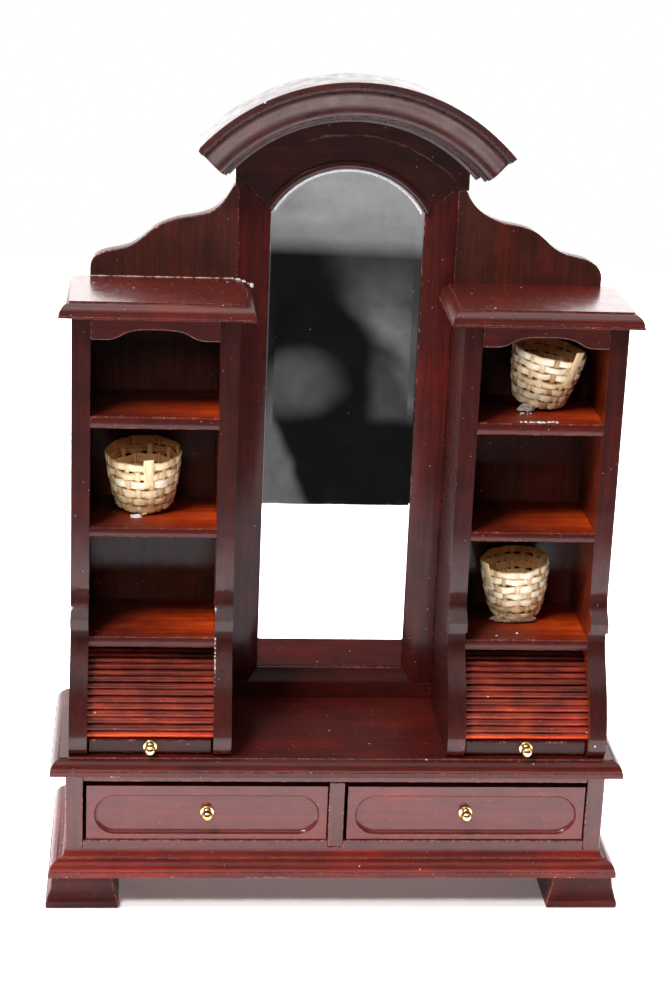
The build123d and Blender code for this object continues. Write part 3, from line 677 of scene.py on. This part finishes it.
def crown():
    """Arched cornice: broad fascia, small step, ogee and a rounded nose."""
    low, high = (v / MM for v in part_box("crown_cornice"))
    y, cover = low.y, high.y
    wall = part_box("mirror_header")[0].y / MM
    profile = [(y, CROWN_TOP), (cover, CROWN_TOP), (cover, CROWN_HOOD)]
    profile += [(wall + SUNK, CROWN_HOOD), (wall + SUNK, CROWN_HEEL)]
    profile += hollow((wall, CROWN_HEEL), (y + 7.5, CROWN_LIP), -0.2, 4)
    profile += [(y + 7.5, CROWN_LIP), (y + 2.3, CROWN_LIP), (y + 2.2, 35.85), (y + 1.9, 35.85)]
    profile += smooth_curve([(y + depth, radius) for depth, radius in CROWN_NOSE])
    profile += [(y + 0.6, 41.5), (y + 0.55, 41.8), (y, 41.95)]
    sweep_arch(
        "crown_cornice", profile, CROWN_CENTRE, CROWN_SPREAD, "crown", 0.16,
        steps=96, tips=(low.x, high.x), soft_ends=0.3,
    )


def arch_bead():
    """Half-round bead that frames the arch of the glass."""
    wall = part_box("mirror_header")[0].y / MM
    middle, half = (BEAD_INNER + BEAD_OUTER) / 2, (BEAD_OUTER - BEAD_INNER) / 2
    profile = [(wall + SUNK, BEAD_INNER), (wall + SUNK, BEAD_OUTER)]
    for k in range(1, 10):
        t = math.pi * k / 10
        profile.append((wall - BEAD_RISE * math.sin(t), middle + half * math.cos(t)))
    sweep_arch("mirror_arch_bead", profile, (0.0, ARCH_Z), BEAD_SPREAD, "side", 0.05)


KNOB_FLANGE = 0.16                  # thickness of the flange's straight edge
KNOB_SHOULDER = ((1.06, 0.32), (0.92, 0.42), (0.7, 0.56), (0.6, 0.75))      # radius, height
KNOB_NECK = 0.6
KNOB_BALL = 1.2
KNOB_TURNS = 56


def turned_knob(node, metal):
    """Turned knob: stepped flange, slim neck and round ball."""
    low, high = (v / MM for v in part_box(node))
    x = (low.x + high.x) / 2
    z = (low.z + high.z) / 2
    back = high.y
    r_max = (high.x - low.x) / 2
    reach = high.y - low.y
    line = [(r_max, 0.0), (r_max, KNOB_FLANGE)]
    for k in range(1, 6):
        t = k / 5 * math.pi / 2
        line.append((r_max - KNOB_FLANGE + KNOB_FLANGE * math.cos(t), KNOB_FLANGE + 0.14 * math.sin(t)))
    line += KNOB_SHOULDER
    start = math.asin(KNOB_NECK / KNOB_BALL)
    for k in range(24):
        t = start + (math.pi - start) * k / 24
        line.append((KNOB_BALL * math.sin(t), reach - KNOB_BALL - KNOB_BALL * math.cos(t)))
    bm = bmesh.new()
    rings = []
    for r, d in line:
        turn = [2 * math.pi * k / KNOB_TURNS for k in range(KNOB_TURNS)]
        spots = [Vector((x + r * math.cos(a), back - d, z + r * math.sin(a))) for a in turn]
        rings.append([bm.verts.new(spot * MM) for spot in spots])
    for first, second in zip(rings, rings[1:]):
        loft(bm, first, second)
    for ring, d in ((rings[0], 0.0), (rings[-1], reach)):
        tip = bm.verts.new(Vector((x, back - d, z)) * MM)
        for k in range(KNOB_TURNS):
            bm.faces.new((tip, ring[k], ring[(k + 1) % KNOB_TURNS]))
    bmesh.ops.recalc_face_normals(bm, faces=bm.faces)
    obj = place_piece("brass_" + node, bm, metal, BODY_OF[node], (node,))
    obj.data.set_sharp_from_angle(angle=math.radians(60))


# ---------------------------------------------------------------- mirror

def arch_outline(half, low, radius, centre_z, steps=40):
    """Points of an arched opening, anticlockwise from the lower left."""
    spring = centre_z + math.sqrt(radius ** 2 - half ** 2)
    side = 24
    points = [(-half + 2 * half * k / 8, low) for k in range(8)]
    points += [(half, low + (spring - low) * k / side) for k in range(side)]
    start = math.asin(half / radius)
    for k in range(steps):
        a = start - 2 * start * k / steps
        points.append((radius * math.sin(a), centre_z + radius * math.cos(a)))
    points += [(-half, spring - (spring - low) * k / side) for k in range(side)]
    return points


# inset at the sides, at the bottom and at the arch, and depth behind the glass's front
GLASS_RINGS = (
    (0.0, 0.0, 0.0, 0.25), (1.2, 1.2, 1.3, 0.21), (1.25, 1.35, 1.72, 0.12),
    (2.6, 1.6, 2.2, 0.115), (2.65, 1.65, 2.25, 0.1148),
)
FROSTED_RING = 2
ARCH_STARTS = 0.1425                # m


def looking_glass():
    """Silvered glass: ground edge along the arch, then a wide shallow bevel."""
    low, high = (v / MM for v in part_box("mirror_glass"))
    half, bottom = high.x, low.z
    radius = high.z - ARCH_Z
    rings = [(arch_outline(half, bottom, radius, ARCH_Z), high.y)]
    for aside, above, under, depth in GLASS_RINGS:
        outline = arch_outline(half - aside, bottom + above, radius - under, ARCH_Z)
        rings.append((outline, low.y + depth))
    bm = bmesh.new()
    frost_and_glow = bm.loops.layers.float.new("frost_and_glow")
    verts = [[bm.verts.new((x * MM, y * MM, z * MM)) for x, z in pts] for pts, y in rings]
    for step, (first, second) in enumerate(zip(verts, verts[1:])):
        for k, j, face in loft(bm, first, second):
            arched = min(first[k].co.z, first[j].co.z) > ARCH_STARTS
            for loop in face.loops:
                loop[frost_and_glow] = 1.0 if step == FROSTED_RING and arched else 0.0
    bm.faces.new(verts[0])
    bm.faces.new(verts[-1])
    bmesh.ops.recalc_face_normals(bm, faces=bm.faces)
    place_piece("glass_mirror", bm, mirror_glass(), "body", ("mirror_glass",), smooth=False)


# ---------------------------------------------------------------- baskets

STAKES = 18
STAKE_WIDTH = 1.0
STRIP_THICK = 0.26
SWING = 0.24                        # how far a weaver passes in and out
PLANK = 1.7                         # width of a strip in the basket's floor
STUB_WIDTH, STUB_THICK = 2.1, 0.28
# one value for each of the ten points round a strip's section
SECTION_RIM = (0.0, 1.0, 1.0, 1.0, 1.0, 1.0, 1.0, 1.0, 1.0, 0.0)
SECTION_ACROSS = (0.8, 0.95, 1.0, 1.0, 0.95, 0.05, 0.0, 0.0, 0.05, 0.2)


def polar(radius, angle, z):
    return Vector((radius * math.cos(angle), radius * math.sin(angle), z))


def tangent(angle):
    return Vector((-math.sin(angle), math.cos(angle), 0))


class Strips:
    """Mesh of flat strips, with the layers that their material reads."""

    def __init__(self):
        self.bm = bmesh.new()
        self.uv = self.bm.loops.layers.uv.new("strip")
        for name in ("shade", "rim", "inside"):
            self.bm.loops.layers.float.new(name)
        self.shade, self.rim, self.inside = self.bm.loops.layers.float.values()

    def add(self, path, across, width, thick, tone, seed, closed=False):
        """Strip along a path. across gives its width direction at each point."""
        count = len(path)
        lengths = [0.0]
        for p, q in zip(path, path[1:] + path[:1]):
            lengths.append(lengths[-1] + (q - p).length)
        rows = []
        for i, p in enumerate(path):
            ahead = path[(i + 1) % count] if closed or i < count - 1 else p
            behind = path[i - 1] if closed or i else p
            along = (ahead - behind).normalized()
            wide = (across[i] - along * across[i].dot(along)).normalized()
            out = along.cross(wide).normalized()
            ragged = noise.noise(Vector((lengths[i] * 0.35, seed * 7.3, 1.7))) * 0.09 * width
            half, h = width / 2 + ragged, thick / 2
            e = min(half * 0.25, 0.12)
            section = [(half * 0.55, h * 1.12), (half - e, h), (half, h * 0.35)]
            section += [(half, -h * 0.35), (half - e, -h)]
            section += [(-w, t) for w, t in reversed(section)]
            rows.append([self.bm.verts.new((p + wide * w + out * t) * MM) for w, t in section])
        for i in range(count if closed else count - 1):
            for k, j, face in loft(self.bm, rows[i], rows[(i + 1) % count]):
                corners = ((i, k), (i, j), (i + 1, j), (i + 1, k))
                for loop, (step, at) in zip(face.loops, corners):
                    loop[self.uv].uv = (lengths[step] + seed * 13.7, SECTION_ACROSS[at] + 0.37 * seed)
                    loop[self.shade] = tone
                    loop[self.rim] = SECTION_RIM[at]
        if not closed:
            for cap in (rows[0][::-1], rows[-1]):
                for loop in self.bm.faces.new(cap).loops:
                    loop[self.shade] = tone
                    loop[self.rim] = 1.0

    def mark_inside(self):
        """Mark the faces that look in towards the middle of the basket."""
        for face in self.bm.faces:
            middle = face.calc_center_median() / MM
            outward = Vector((middle.x, middle.y, 0)).normalized()
            for loop in face.loops:
                loop[self.inside] = 1.0 if face.normal.dot(outward) < -0.3 else 0.0


def floor_strips(strips, base, rng, seed):
    """Two crossing layers of strips that pass over and under each other."""
    count = int(base * 2 / PLANK)
    spacing = PLANK * 1.04
    for axis in range(2):
        for k in range(count):
            c = (k - (count - 1) / 2) * spacing
            reach = math.sqrt(max((base - 0.75) ** 2 - (abs(c) + PLANK / 2) ** 2, 0.3))
            path = []
            for i in range(25):
                t = -reach + 2 * reach * i / 24
                z = 0.3 + 0.12 * math.sin(math.pi * t / spacing + math.pi * (k + axis))
                path.append(Vector((t, c, z) if axis == 0 else (c, t, z)))
            side = Vector((axis, 1 - axis, 0))
            strips.add(path, [side] * 25, PLANK, 0.16, rng.uniform(0.2, 0.7), seed * 13 + axis * 9 + k)


def weave(key, mat, floor_z, rim, base, tall, stub, lean, at, rows, seed):
    """Little round basket: flat stakes, flat weavers passing in and out, woven base."""
    rng = random.Random(seed)
    tilt = Matrix.Rotation(math.radians(lean[0]), 4, "X") @ Matrix.Rotation(math.radians(lean[1]), 4, "Y")
    lowest = min((tilt @ polar(base, math.radians(a), 0)).z for a in range(0, 360, 5))
    seat = Matrix.Translation((at[0], at[1], floor_z - lowest + 0.02)) @ tilt
    strips = Strips()
    inset = SWING + STRIP_THICK / 2 + 0.05
    pitch = (tall - 0.35) / rows

    def radius(z):
        share = min(max(z / tall, 0), 1)
        swell = 0.3 * math.sin(math.pi * share) - 0.35 * max(0.0, 1 - share * 5) ** 2
        return base + (rim - base) * share - inset + swell

    first_turn = rng.uniform(0, 2 * math.pi)
    wobble = [rng.uniform(-0.16, 0.16) for _ in range(STAKES)]
    for k in range(STAKES):
        a = first_turn + 2 * math.pi * (k + wobble[k]) / STAKES
        samples = rows * 7
        top = tall - rng.uniform(0.05, 0.6)
        upright = []
        for i in range(samples + 1):
            z = 0.2 + (top - 0.2) * i / samples
            off = -SWING * math.sin(math.pi * (z - 0.3) / pitch + math.pi * k)
            upright.append(polar(radius(z) + off * 0.8, a, z))
        heel = Vector((upright[0].x * 0.94, upright[0].y * 0.94, 0.14))
        path = [polar(0.6 * base, a, 0.16 + 0.1 * (k % 2)), heel] + upright
        width = STAKE_WIDTH + rng.uniform(-0.15, 0.15)
        tone = rng.uniform(0.35, 0.9)
        strips.add(path, [tangent(a)] * len(path), width, STRIP_THICK * 0.85, tone, seed * 31 + k)

    for row in range(rows):
        path, across = [], []
        samples = STAKES * 10
        z_mid = 0.3 + pitch * (row + 0.5)
        tilt_a = rng.uniform(0, 2 * math.pi)
        droop = rng.uniform(0.06, 0.2) if 0 < row < rows - 1 else 0.05
        tone = rng.uniform(0.3, 1.0)
        width = pitch * rng.uniform(0.84, 0.95)
        depth = SWING * (0.6 if row == rows - 1 else 1.0)
        for i in range(samples):
            a = first_turn + 2 * math.pi * i / samples
            z = z_mid + droop * math.sin(a - tilt_a)
            z += 0.14 * noise.noise(Vector((4 * math.cos(a), 4 * math.sin(a), row * 3.1 + seed)))
            wave = math.cos(STAKES / 2 * (a - first_turn) + math.pi * row)
            wave = math.copysign(abs(wave) ** 0.45, wave)
            path.append(polar(radius(z) + depth * wave, a, z))
            across.append(polar((radius(z + 0.1) - radius(z)) / 0.1, a, 1.0))
        strips.add(path, across, width, STRIP_THICK, tone, seed * 17 + row, closed=True)

    floor_strips(strips, base, rng, seed)

    turn, foot, tip = stub
    a = math.radians(turn - 90)
    path = []
    for i in range(14):
        t = i / 13
        z = foot + (tip - foot) * t
        path.append(polar(base + (rim - base) * z / tall + 0.08 + 0.12 * t, a, z))
    strips.add(path, [tangent(a)] * 14, STUB_WIDTH, STUB_THICK, 0.8, seed * 5 + 2)

    bmesh.ops.recalc_face_normals(strips.bm, faces=strips.bm.faces)
    strips.mark_inside()
    strips.bm.transform(Matrix.Scale(MM, 4) @ seat @ Matrix.Scale(1 / MM, 4))
    obj = place_piece(f"basket_{key}_woven", strips.bm, mat, "body", (f"basket_{key}",))
    obj.data.set_sharp_from_angle(angle=math.radians(48))


# ---------------------------------------------------------------- glue, crumbs, wear and painted glints

def lump(bm, centre, size, detail, swell, lowest=-1.0, lift=0.0):
    """Rough ball in millimetres; swell is its growth by direction, lowest cuts its foot flat."""
    for v in bmesh.ops.create_icosphere(bm, subdivisions=detail, radius=1.0)["verts"]:
        n = v.co.normalized()
        p = Vector((n.x * size[0], n.y * size[1], max(n.z, lowest) * size[2] + lift))
        v.co = (p * swell(n) + Vector(centre)) * MM


def blob(name, centre, size, mat, seed, bits=0, spread=3.0, replaced=()):
    """Uneven dab of dried glue with a few bits broken off it."""
    rng = random.Random(seed)
    bm = bmesh.new()
    shift = Vector((seed, 0, 0))
    lump(
        bm, centre, size, 4,
        lambda n: 1 + 0.45 * noise.noise(n * 1.6 + shift) + 0.16 * noise.noise(n * 4.5), lowest=-0.35,
    )
    for _ in range(bits):
        r = rng.uniform(0.1, 0.28)
        x = centre[0] + rng.uniform(-spread, spread)
        at = Vector((x, centre[1] - size[1] - rng.uniform(-0.6, 1.4), 0))
        ground = Vector((at.x, at.y, centre[2] - size[2] * 0.3 + r * 0.4))
        lump(bm, ground, (r, r * 0.8, r * 0.6), 2, lambda n: 1 + 0.5 * noise.noise(n * 2.0 + at))
    place_piece(name, bm, mat, "body", replaced)


def crumbs(name, spots, mat, seed):
    """Small rough lumps lying about, as crumbs, chips and specks of painted glint: (x, y, z, size) in
    millimetres.
    """
    rng = random.Random(seed)
    bm = bmesh.new()
    for x, y, z, size in spots:
        shift = Vector((rng.uniform(-9, 9), rng.uniform(-9, 9), 0))
        lump(
            bm, (x, y, z), (size, size * 0.8, size * 0.6), 2,
            lambda n: 1 + 0.55 * noise.noise(n * 1.9 + shift), lift=0.45 * size,
        )
    place_piece(name, bm, mat, "body")


# node, how far in and up from its lower front edge, upward spread, least and greatest
# size, and the stretches of pale chips and painted glints: from x, to x, number of bits
WORN_AND_GLINT_EDGES = (
    ("plinth_board", 0.07, 0.05, 0.07, (0.08, 0.17),
     ((-18.6, -7.6, 46), (-34.5, -33.6, 6), (-57.2, -55.8, 5), (21, 24, 7), (47, 52, 8))),
    ("table_top", 0.06, 0.04, 0.05, (0.07, 0.14),
     ((-47.8, -45.6, 10), (-57.5, -56.5, 4), (-29, -27.6, 5), (28, 30, 5))),
)


def worn_and_glint_corners():
    """Pale bruised patches on the arrises of the plinth and the table top; part of them, at the left mitre
    tips, are painted glints.
    """
    pale = chalky("bruised_wood_and_glints", ((0.30, 0.10, 0.07), (0.86, 0.66, 0.60)))
    rng = random.Random(67)
    spots = []
    for node, inward, above, spread, sizes, stretches in WORN_AND_GLINT_EDGES:
        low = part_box(node)[0] / MM
        for start, end, count in stretches:
            for _ in range(count):
                x = rng.uniform(start, end)
                z = low.z + above + abs(rng.gauss(0, spread))
                spots.append((x, low.y + inward, z, rng.uniform(*sizes)))
    crumbs("bruised_arrises_and_glints", spots, pale, 29)


# painted highlights: the heights where the glint specks start, grow dense and stop
GLINTS_FROM, GLINTS_DENSE, GLINTS_TO = 46.4, 50, 57.0      # z, mm


def painted_edge_glints():
    """Painted highlights: pale specks along the inner front arris of a cabinet side, over the tambour,
    standing in for glints on its curved lacquer.
    """
    pale = chalky("painted_glint_specks", ((0.62, 0.46, 0.44), (0.95, 0.90, 0.90)))
    node = NODES["cabinet_left_inner_side"]
    tree = BVHTree.FromPolygons(
        [v.co.copy() for v in node.data.vertices], [tuple(f.vertices) for f in node.data.polygons]
    )
    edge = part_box("cabinet_left_inner_side")[0].x / MM
    rng = random.Random(83)
    spots = []
    z = GLINTS_FROM
    while z < GLINTS_TO:
        dense = z > GLINTS_DENSE
        hit = tree.ray_cast(Vector((edge + 0.15, -60, z)) * MM, Vector((0, 1, 0)))[0]
        if hit is not None:
            size = rng.uniform(0.06, 0.2) * (1.0 if dense else 0.6)
            spots.append((edge + 0.12 + rng.uniform(0, 0.1), hit.y / MM + 0.07, z, size))
        z += rng.uniform(0.12, 0.3) if dense else rng.uniform(0.3, 0.8)
    crumbs("painted_edge_glints_left", spots, pale, 31)


def glue_line(name, start, end, z, mat, seed):
    """Thin broken bead of dried glue lying along a joint; start and end are (x, y)."""
    bm = bmesh.new()
    a, b = Vector(start), Vector(end)
    steps = 150
    rows = []
    for i in range(steps + 1):
        p = a + (b - a) * (i / steps)
        swell = noise.noise(Vector((i * 0.21, seed, 0.3))) + 0.5 * noise.noise(Vector((i * 0.9, seed, 4.3)))
        size = max(0.02, 0.11 + 0.16 * swell)
        row = []
        for k in range(6):
            t = math.pi * k / 5
            y = p.y - size * 1.3 * (1 - math.cos(t)) / 2
            row.append(bm.verts.new(Vector((p.x, y, z - 0.02 + size * math.sin(t))) * MM))
        rows.append(row)
    for first, second in zip(rows, rows[1:]):
        loft(bm, first, second)
    bm.faces.new(rows[0])
    bm.faces.new(rows[-1][::-1])
    bmesh.ops.recalc_face_normals(bm, faces=bm.faces)
    place_piece(name, bm, mat, "body")


# outer radius at the rim and the base, height, handle stub (turn, foot, tip), lean
# about x and y, place of the centre, rows of weavers, seed
BASKETS = {
    "left_middle": (8.2, 6.1, 12.5, (8, 7.4, 13.6), (6, -2), (-41.2, 7.65), 6, 11),
    "right_top": (8.1, 5.6, 12.0, (34, 6.4, 14.2), (4, 8), (40.8, 7.65), 7, 23),
    "right_bottom": (7.6, 5.6, 12.6, (-58, 8.2, 14.0), (4, -5), (39.2, 8.05), 7, 37),
}
SHELF_UNDER = {
    "left_middle": "cabinet_left_middle_shelf",
    "right_top": "cabinet_right_upper_shelf",
    "right_bottom": "cabinet_right_lower_shelf",
}


def baskets():
    """The three baskets and the glue that holds them down."""
    straw = splint("basket_splint", ((0.34, 0.16, 0.035), (0.84, 0.60, 0.31), (0.97, 0.87, 0.68)))
    shelf = {key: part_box(node)[1].z / MM for key, node in SHELF_UNDER.items()}
    for key, spec in BASKETS.items():
        weave(key, straw, shelf[key], *spec)
    clear = adhesive("clear_glue", ((0.34, 0.22, 0.16), (0.88, 0.78, 0.72)), 0.45)
    amber = adhesive("amber_glue", ((0.20, 0.09, 0.04), (0.66, 0.46, 0.30)), 0.35)
    white = adhesive("white_glue", ((0.70, 0.62, 0.60), (0.95, 0.92, 0.92)), 0.15)
    middle, top, low = (shelf[key] for key in BASKETS)
    blob("glue_left_middle", (-43.0, 0.9, middle + 0.15), (1.3, 0.6, 0.4), white, 3, 2, 1.2, ("basket_glue",))
    blob("glue_right_top", (37.6, 2.5, top + 0.7), (1.6, 0.6, 1.05), clear, 5)
    blob("glue_right_bottom", (37.9, 3.1, low + 0.9), (4.2, 1.1, 1.35), amber, 8)
    rng = random.Random(41)
    spots = []
    for _ in range(26):     # a row along the front of the upper shelf
        spots.append((rng.gauss(39.2, 1.9), -5.5 + abs(rng.gauss(0, 0.3)), top, rng.uniform(0.12, 0.36)))
    for _ in range(7):      # a few in front of the glue
        spots.append((rng.uniform(35.6, 38.5), 1.2 + rng.uniform(-0.8, 0.5), top, rng.uniform(0.1, 0.3)))
    spots += [(37.9, -3.6, low, 0.28), (33.3, -4.9, low, 0.2)]
    crumbs("glue_crumbs", spots, white, 77)
    lid_glue(rng, white)


def lid_glue(rng, white):
    """Stained bead behind the left lid, and bits along its inner rear edge."""
    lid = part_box("cabinet_left_top_board")[1] / MM
    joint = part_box("cabinet_left_back_board")[0].y / MM
    stained = adhesive("stained_glue", ((0.55, 0.20, 0.12), (0.92, 0.74, 0.68)), 0.1)
    glue_line("glue_line_left", (-55.5, joint - 0.05), (-24.0, joint - 0.05), lid.z, stained, 91)
    spots = []
    for _ in range(26):
        t = rng.random()
        x = min(-23.8 + 4.6 * t, lid.x - 0.45)
        y = joint - 0.3 - 7.4 * t ** 1.5 + rng.gauss(0, 0.12)
        spots.append((x, y, lid.z, rng.uniform(0.12, 0.40)))
    crumbs("glue_crumbs_lid", spots, white, 53)


# ---------------------------------------------------------------- studio

def stage_plane(name, x0, x1, y0, y1, z, mat):
    mesh = bpy.data.meshes.new(name)
    mesh.from_pydata([(x0, y0, z), (x1, y0, z), (x1, y1, z), (x0, y1, z)], [], [(0, 1, 2, 3)])
    mesh.materials.append(mat)
    obj = bpy.data.objects.new(name, mesh)
    bpy.context.scene.collection.objects.link(obj)
    return obj


def area_light(name, at, target, size, power, colour=(1, 1, 1)):
    data = bpy.data.lights.new(name, "AREA")
    data.shape = "DISK"
    data.size = size
    data.energy = power
    data.color = colour
    obj = bpy.data.objects.new(name, data)
    aim = Vector(target) - Vector(at)
    obj.matrix_world = Matrix.Translation(at) @ aim.to_track_quat("-Z", "Y").to_matrix().to_4x4()
    bpy.context.scene.collection.objects.link(obj)
    return obj


def room_shapes(g, ray):
    """Vague pale shapes in the dark room in front of the table, by the slope of a ray."""
    x, y, z = g.split(ray)
    ahead = g.times(y, -1.0)
    stray = g.noise(g.map(ray, (22.0, 1.0, 30.0)), 1.0, 2, 0.5)
    stray = g.math("MULTIPLY_ADD", stray, 0.016, -0.008)
    u = g.math("ADD", g.math("DIVIDE", x, ahead), stray)
    v = g.math("ADD", g.math("DIVIDE", z, ahead), g.times(stray, 0.6))
    slant = g.math("MULTIPLY_ADD", v, 0.62, u)
    right = g.times(g.soft_step(slant, -0.065, -0.048), g.soft_step(v, -0.302, -0.291))
    fade = g.times(g.soft_step(v, -0.222, -0.262), g.soft_step(u, 0.145, 0.104))
    right = g.times(right, g.math("MULTIPLY_ADD", fade, 0.13, 0.030))
    under = g.math("MULTIPLY_ADD", u, 0.83, v)
    lower = g.times(g.soft_step(under, -0.1795, -0.1860), g.soft_step(u, 0.099, 0.107))
    lower = g.times(lower, g.soft_step(v, -0.305, -0.298))
    right = g.math("MULTIPLY_ADD", lower, 0.045, right)
    du = g.math("DIVIDE", g.math("SUBTRACT", u, 0.068), 0.024)
    dv = g.math("DIVIDE", g.math("SUBTRACT", v, -0.284), 0.0160)
    far = g.math("ADD", g.times(du, du), g.times(dv, dv))
    middle = g.times(g.soft_step(far, 1.4, 0.0), 0.072)
    slope = g.math("MULTIPLY_ADD", v, 0.40, u)
    corner = g.times(g.soft_step(slope, -0.0570, -0.0640), g.soft_step(v, -0.284, -0.304))
    corner = g.times(corner, 0.12)
    left = g.times(g.soft_step(u, 0.052, 0.02), g.soft_step(v, -0.45, -0.40))
    left = g.times(left, 0.10)
    total = g.math("ADD", g.math("ADD", right, middle), g.math("ADD", corner, left))
    cloud = g.noise(g.map(ray, (55.0, 1.0, 70.0), (3.0, 0.0, 1.0)), 1.0, 4, 0.6)
    return g.times(total, g.math("MULTIPLY_ADD", cloud, 1.5, 0.25))


SHEET_EDGE = -0.214         # y where the near sheet gives way to the bright one, m
# (height of the ray as a share from straight down to straight up, brightness)
SKY_FRONT = (
    (0.0, 0.008), (0.3908, 0.008), (0.3935, 0.20), (0.397, 0.29), (0.42, 0.34), (0.5, 0.28), (0.57, 0.06),
    (0.78, 0.05), (0.88, 1.1), (0.95, 2.0), (1.0, 2.0),
)
SKY_BACK = ((0.0, 0.5), (0.48, 2.5), (0.52, 1.2), (0.75, 1.2), (0.95, 0.6), (1.0, 0.6))
BACK_GAIN = 2.35
DIFFUSE_SHARE = 0.08        # how much of the room lights the matt surfaces
CROWN_LIGHTS = ((0.0, -0.36, 0.51), (-0.30, -0.34, 0.38), (0.30, -0.34, 0.38))


def sheet_material(name, glow, strength):
    """White paper sheet that gives off a little light."""
    mat, g = material(name)
    finish_surface(
        g, None, Base_Color=(0.9, 0.9, 0.9, 1), Roughness=0.9, Specular_IOR_Level=0.1,
        Emission_Color=(*glow, 1), Emission_Strength=strength,
    )
    return mat


def room():
    """Light of the room: dark in front of the table, pale behind it."""
    world = bpy.data.worlds.new("studio")
    bpy.context.scene.world = world
    world.use_nodes = True
    g = Graph(world.node_tree)
    ray = g.coords("Generated")
    _, depth, rise = g.split(ray)
    height = g.math("MULTIPLY_ADD", rise, 0.5, 0.5)
    patches = g.noise(g.map(ray, (45.0, 1.0, 60.0)), 1.0, 5, 0.65)
    patches = g.math("MULTIPLY_ADD", patches, 1.1, 0.45)
    front = g.mix(1.0, g.ramp(height, SKY_FRONT), patches, "MULTIPLY")
    front = g.mix(1.0, front, room_shapes(g, ray), "ADD")
    back = g.mix(1.0, g.ramp(height, SKY_BACK), (BACK_GAIN,) * 3, "MULTIPLY")
    side = g.add("ShaderNodeMapRange")
    g.link(depth, side.inputs[0])
    side.inputs[1].default_value = -0.25
    side.inputs[2].default_value = 0.15
    sky = g.mix(side.outputs[0], front, back)
    path = g.add("ShaderNodeLightPath")
    dim = g.mix(1.0, sky, (DIFFUSE_SHARE,) * 3, "MULTIPLY")
    sky = g.mix(path.outputs["Is Diffuse Ray"], sky, dim)
    sky = g.mix(path.outputs["Is Camera Ray"], sky, (1.0, 1.0, 1.0))
    background = g.add("ShaderNodeBackground")
    g.link(sky, background.inputs[0])
    out = g.add("ShaderNodeOutputWorld")
    g.link(background.outputs[0], out.inputs[0])


def receivers(name, pieces, lights):
    """Tie the lights to these pieces: all that they reach, unless one is marked as excluded."""
    group = bpy.data.collections.new(name)
    for piece in pieces:
        group.objects.link(piece)
    for light in lights:
        light.light_linking.receiver_collection = group
    return group


def in_openings(piece):
    """Is this one of the pieces that stand in the cabinets' openings, or a board behind them?"""
    named = piece.name.startswith(("basket_", "glue_")) or piece.name.endswith("back_board")
    return named and piece.type == "MESH" and not piece.hide_render


def studio():
    """Sheets, room and lamps."""
    near_mat = sheet_material("white_sheet", (1.0, 0.93, 0.92), 0.1)
    far_mat = sheet_material("white_sheet_far", (1.0, 0.99, 0.99), 0.85)
    near = stage_plane("sheet", -3, 3, SHEET_EDGE, 0.6, 0.0, near_mat)
    far = stage_plane("sheet_front", -3, 3, -3, SHEET_EDGE, 0.0, far_mat)
    far.visible_glossy = False
    far.visible_diffuse = False
    room()

    cornice = [bpy.data.objects["wood_crown_cornice"]]
    key = area_light("key", (-0.32, -0.34, 0.72), (0, 0, 0.07), 0.24, 6.3)
    shaded = receivers("out_of_key", cornice, [key])
    shaded.collection_objects[0].light_linking.link_state = "EXCLUDE"
    panels = [
        area_light(f"crown_light_{k}", at, (0, 0, 0.165), 0.34, 1.6, (1.0, 0.84, 0.86))
        for k, at in enumerate(CROWN_LIGHTS)
    ]
    receivers("lit_crown", cornice, panels)
    fill = area_light("basket_light", (-0.12, -0.42, 0.36), (0, 0, 0.09), 0.16, 1.0)
    receivers("lit_baskets", filter(in_openings, bpy.context.scene.objects), [fill])
    lamp = area_light("sheet_light", (0.0, 0.15, 0.9), (0, 0, 0), 0.5, 30, (1.0, 0.975, 1.03))
    receivers("lit_sheet", [near], [lamp])
    view = bpy.context.scene.view_settings
    view.view_transform = "Standard"
    view.look = "None"


def dress(node, mat):
    """Give a piece that keeps its CAD shape its material."""
    slots = NODES[node].data.materials
    slots.clear()
    slots.append(mat)


look()
wood_pieces()
crown()
arch_bead()
metal = brass()
for knob_node in sorted(NODES):
    if knob_node.endswith("knob"):
        turned_knob(knob_node, metal)
looking_glass()
baskets()
worn_and_glint_corners()
painted_edge_glints()
backing = chalky(
    "backing_card", ((0.2, 0.15, 0.1), (0.4, 0.32, 0.22)), (0.3, 0.7), 2.5, 5, 0.00004, 0.6, 0.92,
)
dress("mirror_backing", backing)
canvas = cloth()
for side_name in ("left", "right"):
    dress(f"tambour_{side_name}_canvas", canvas)
studio()
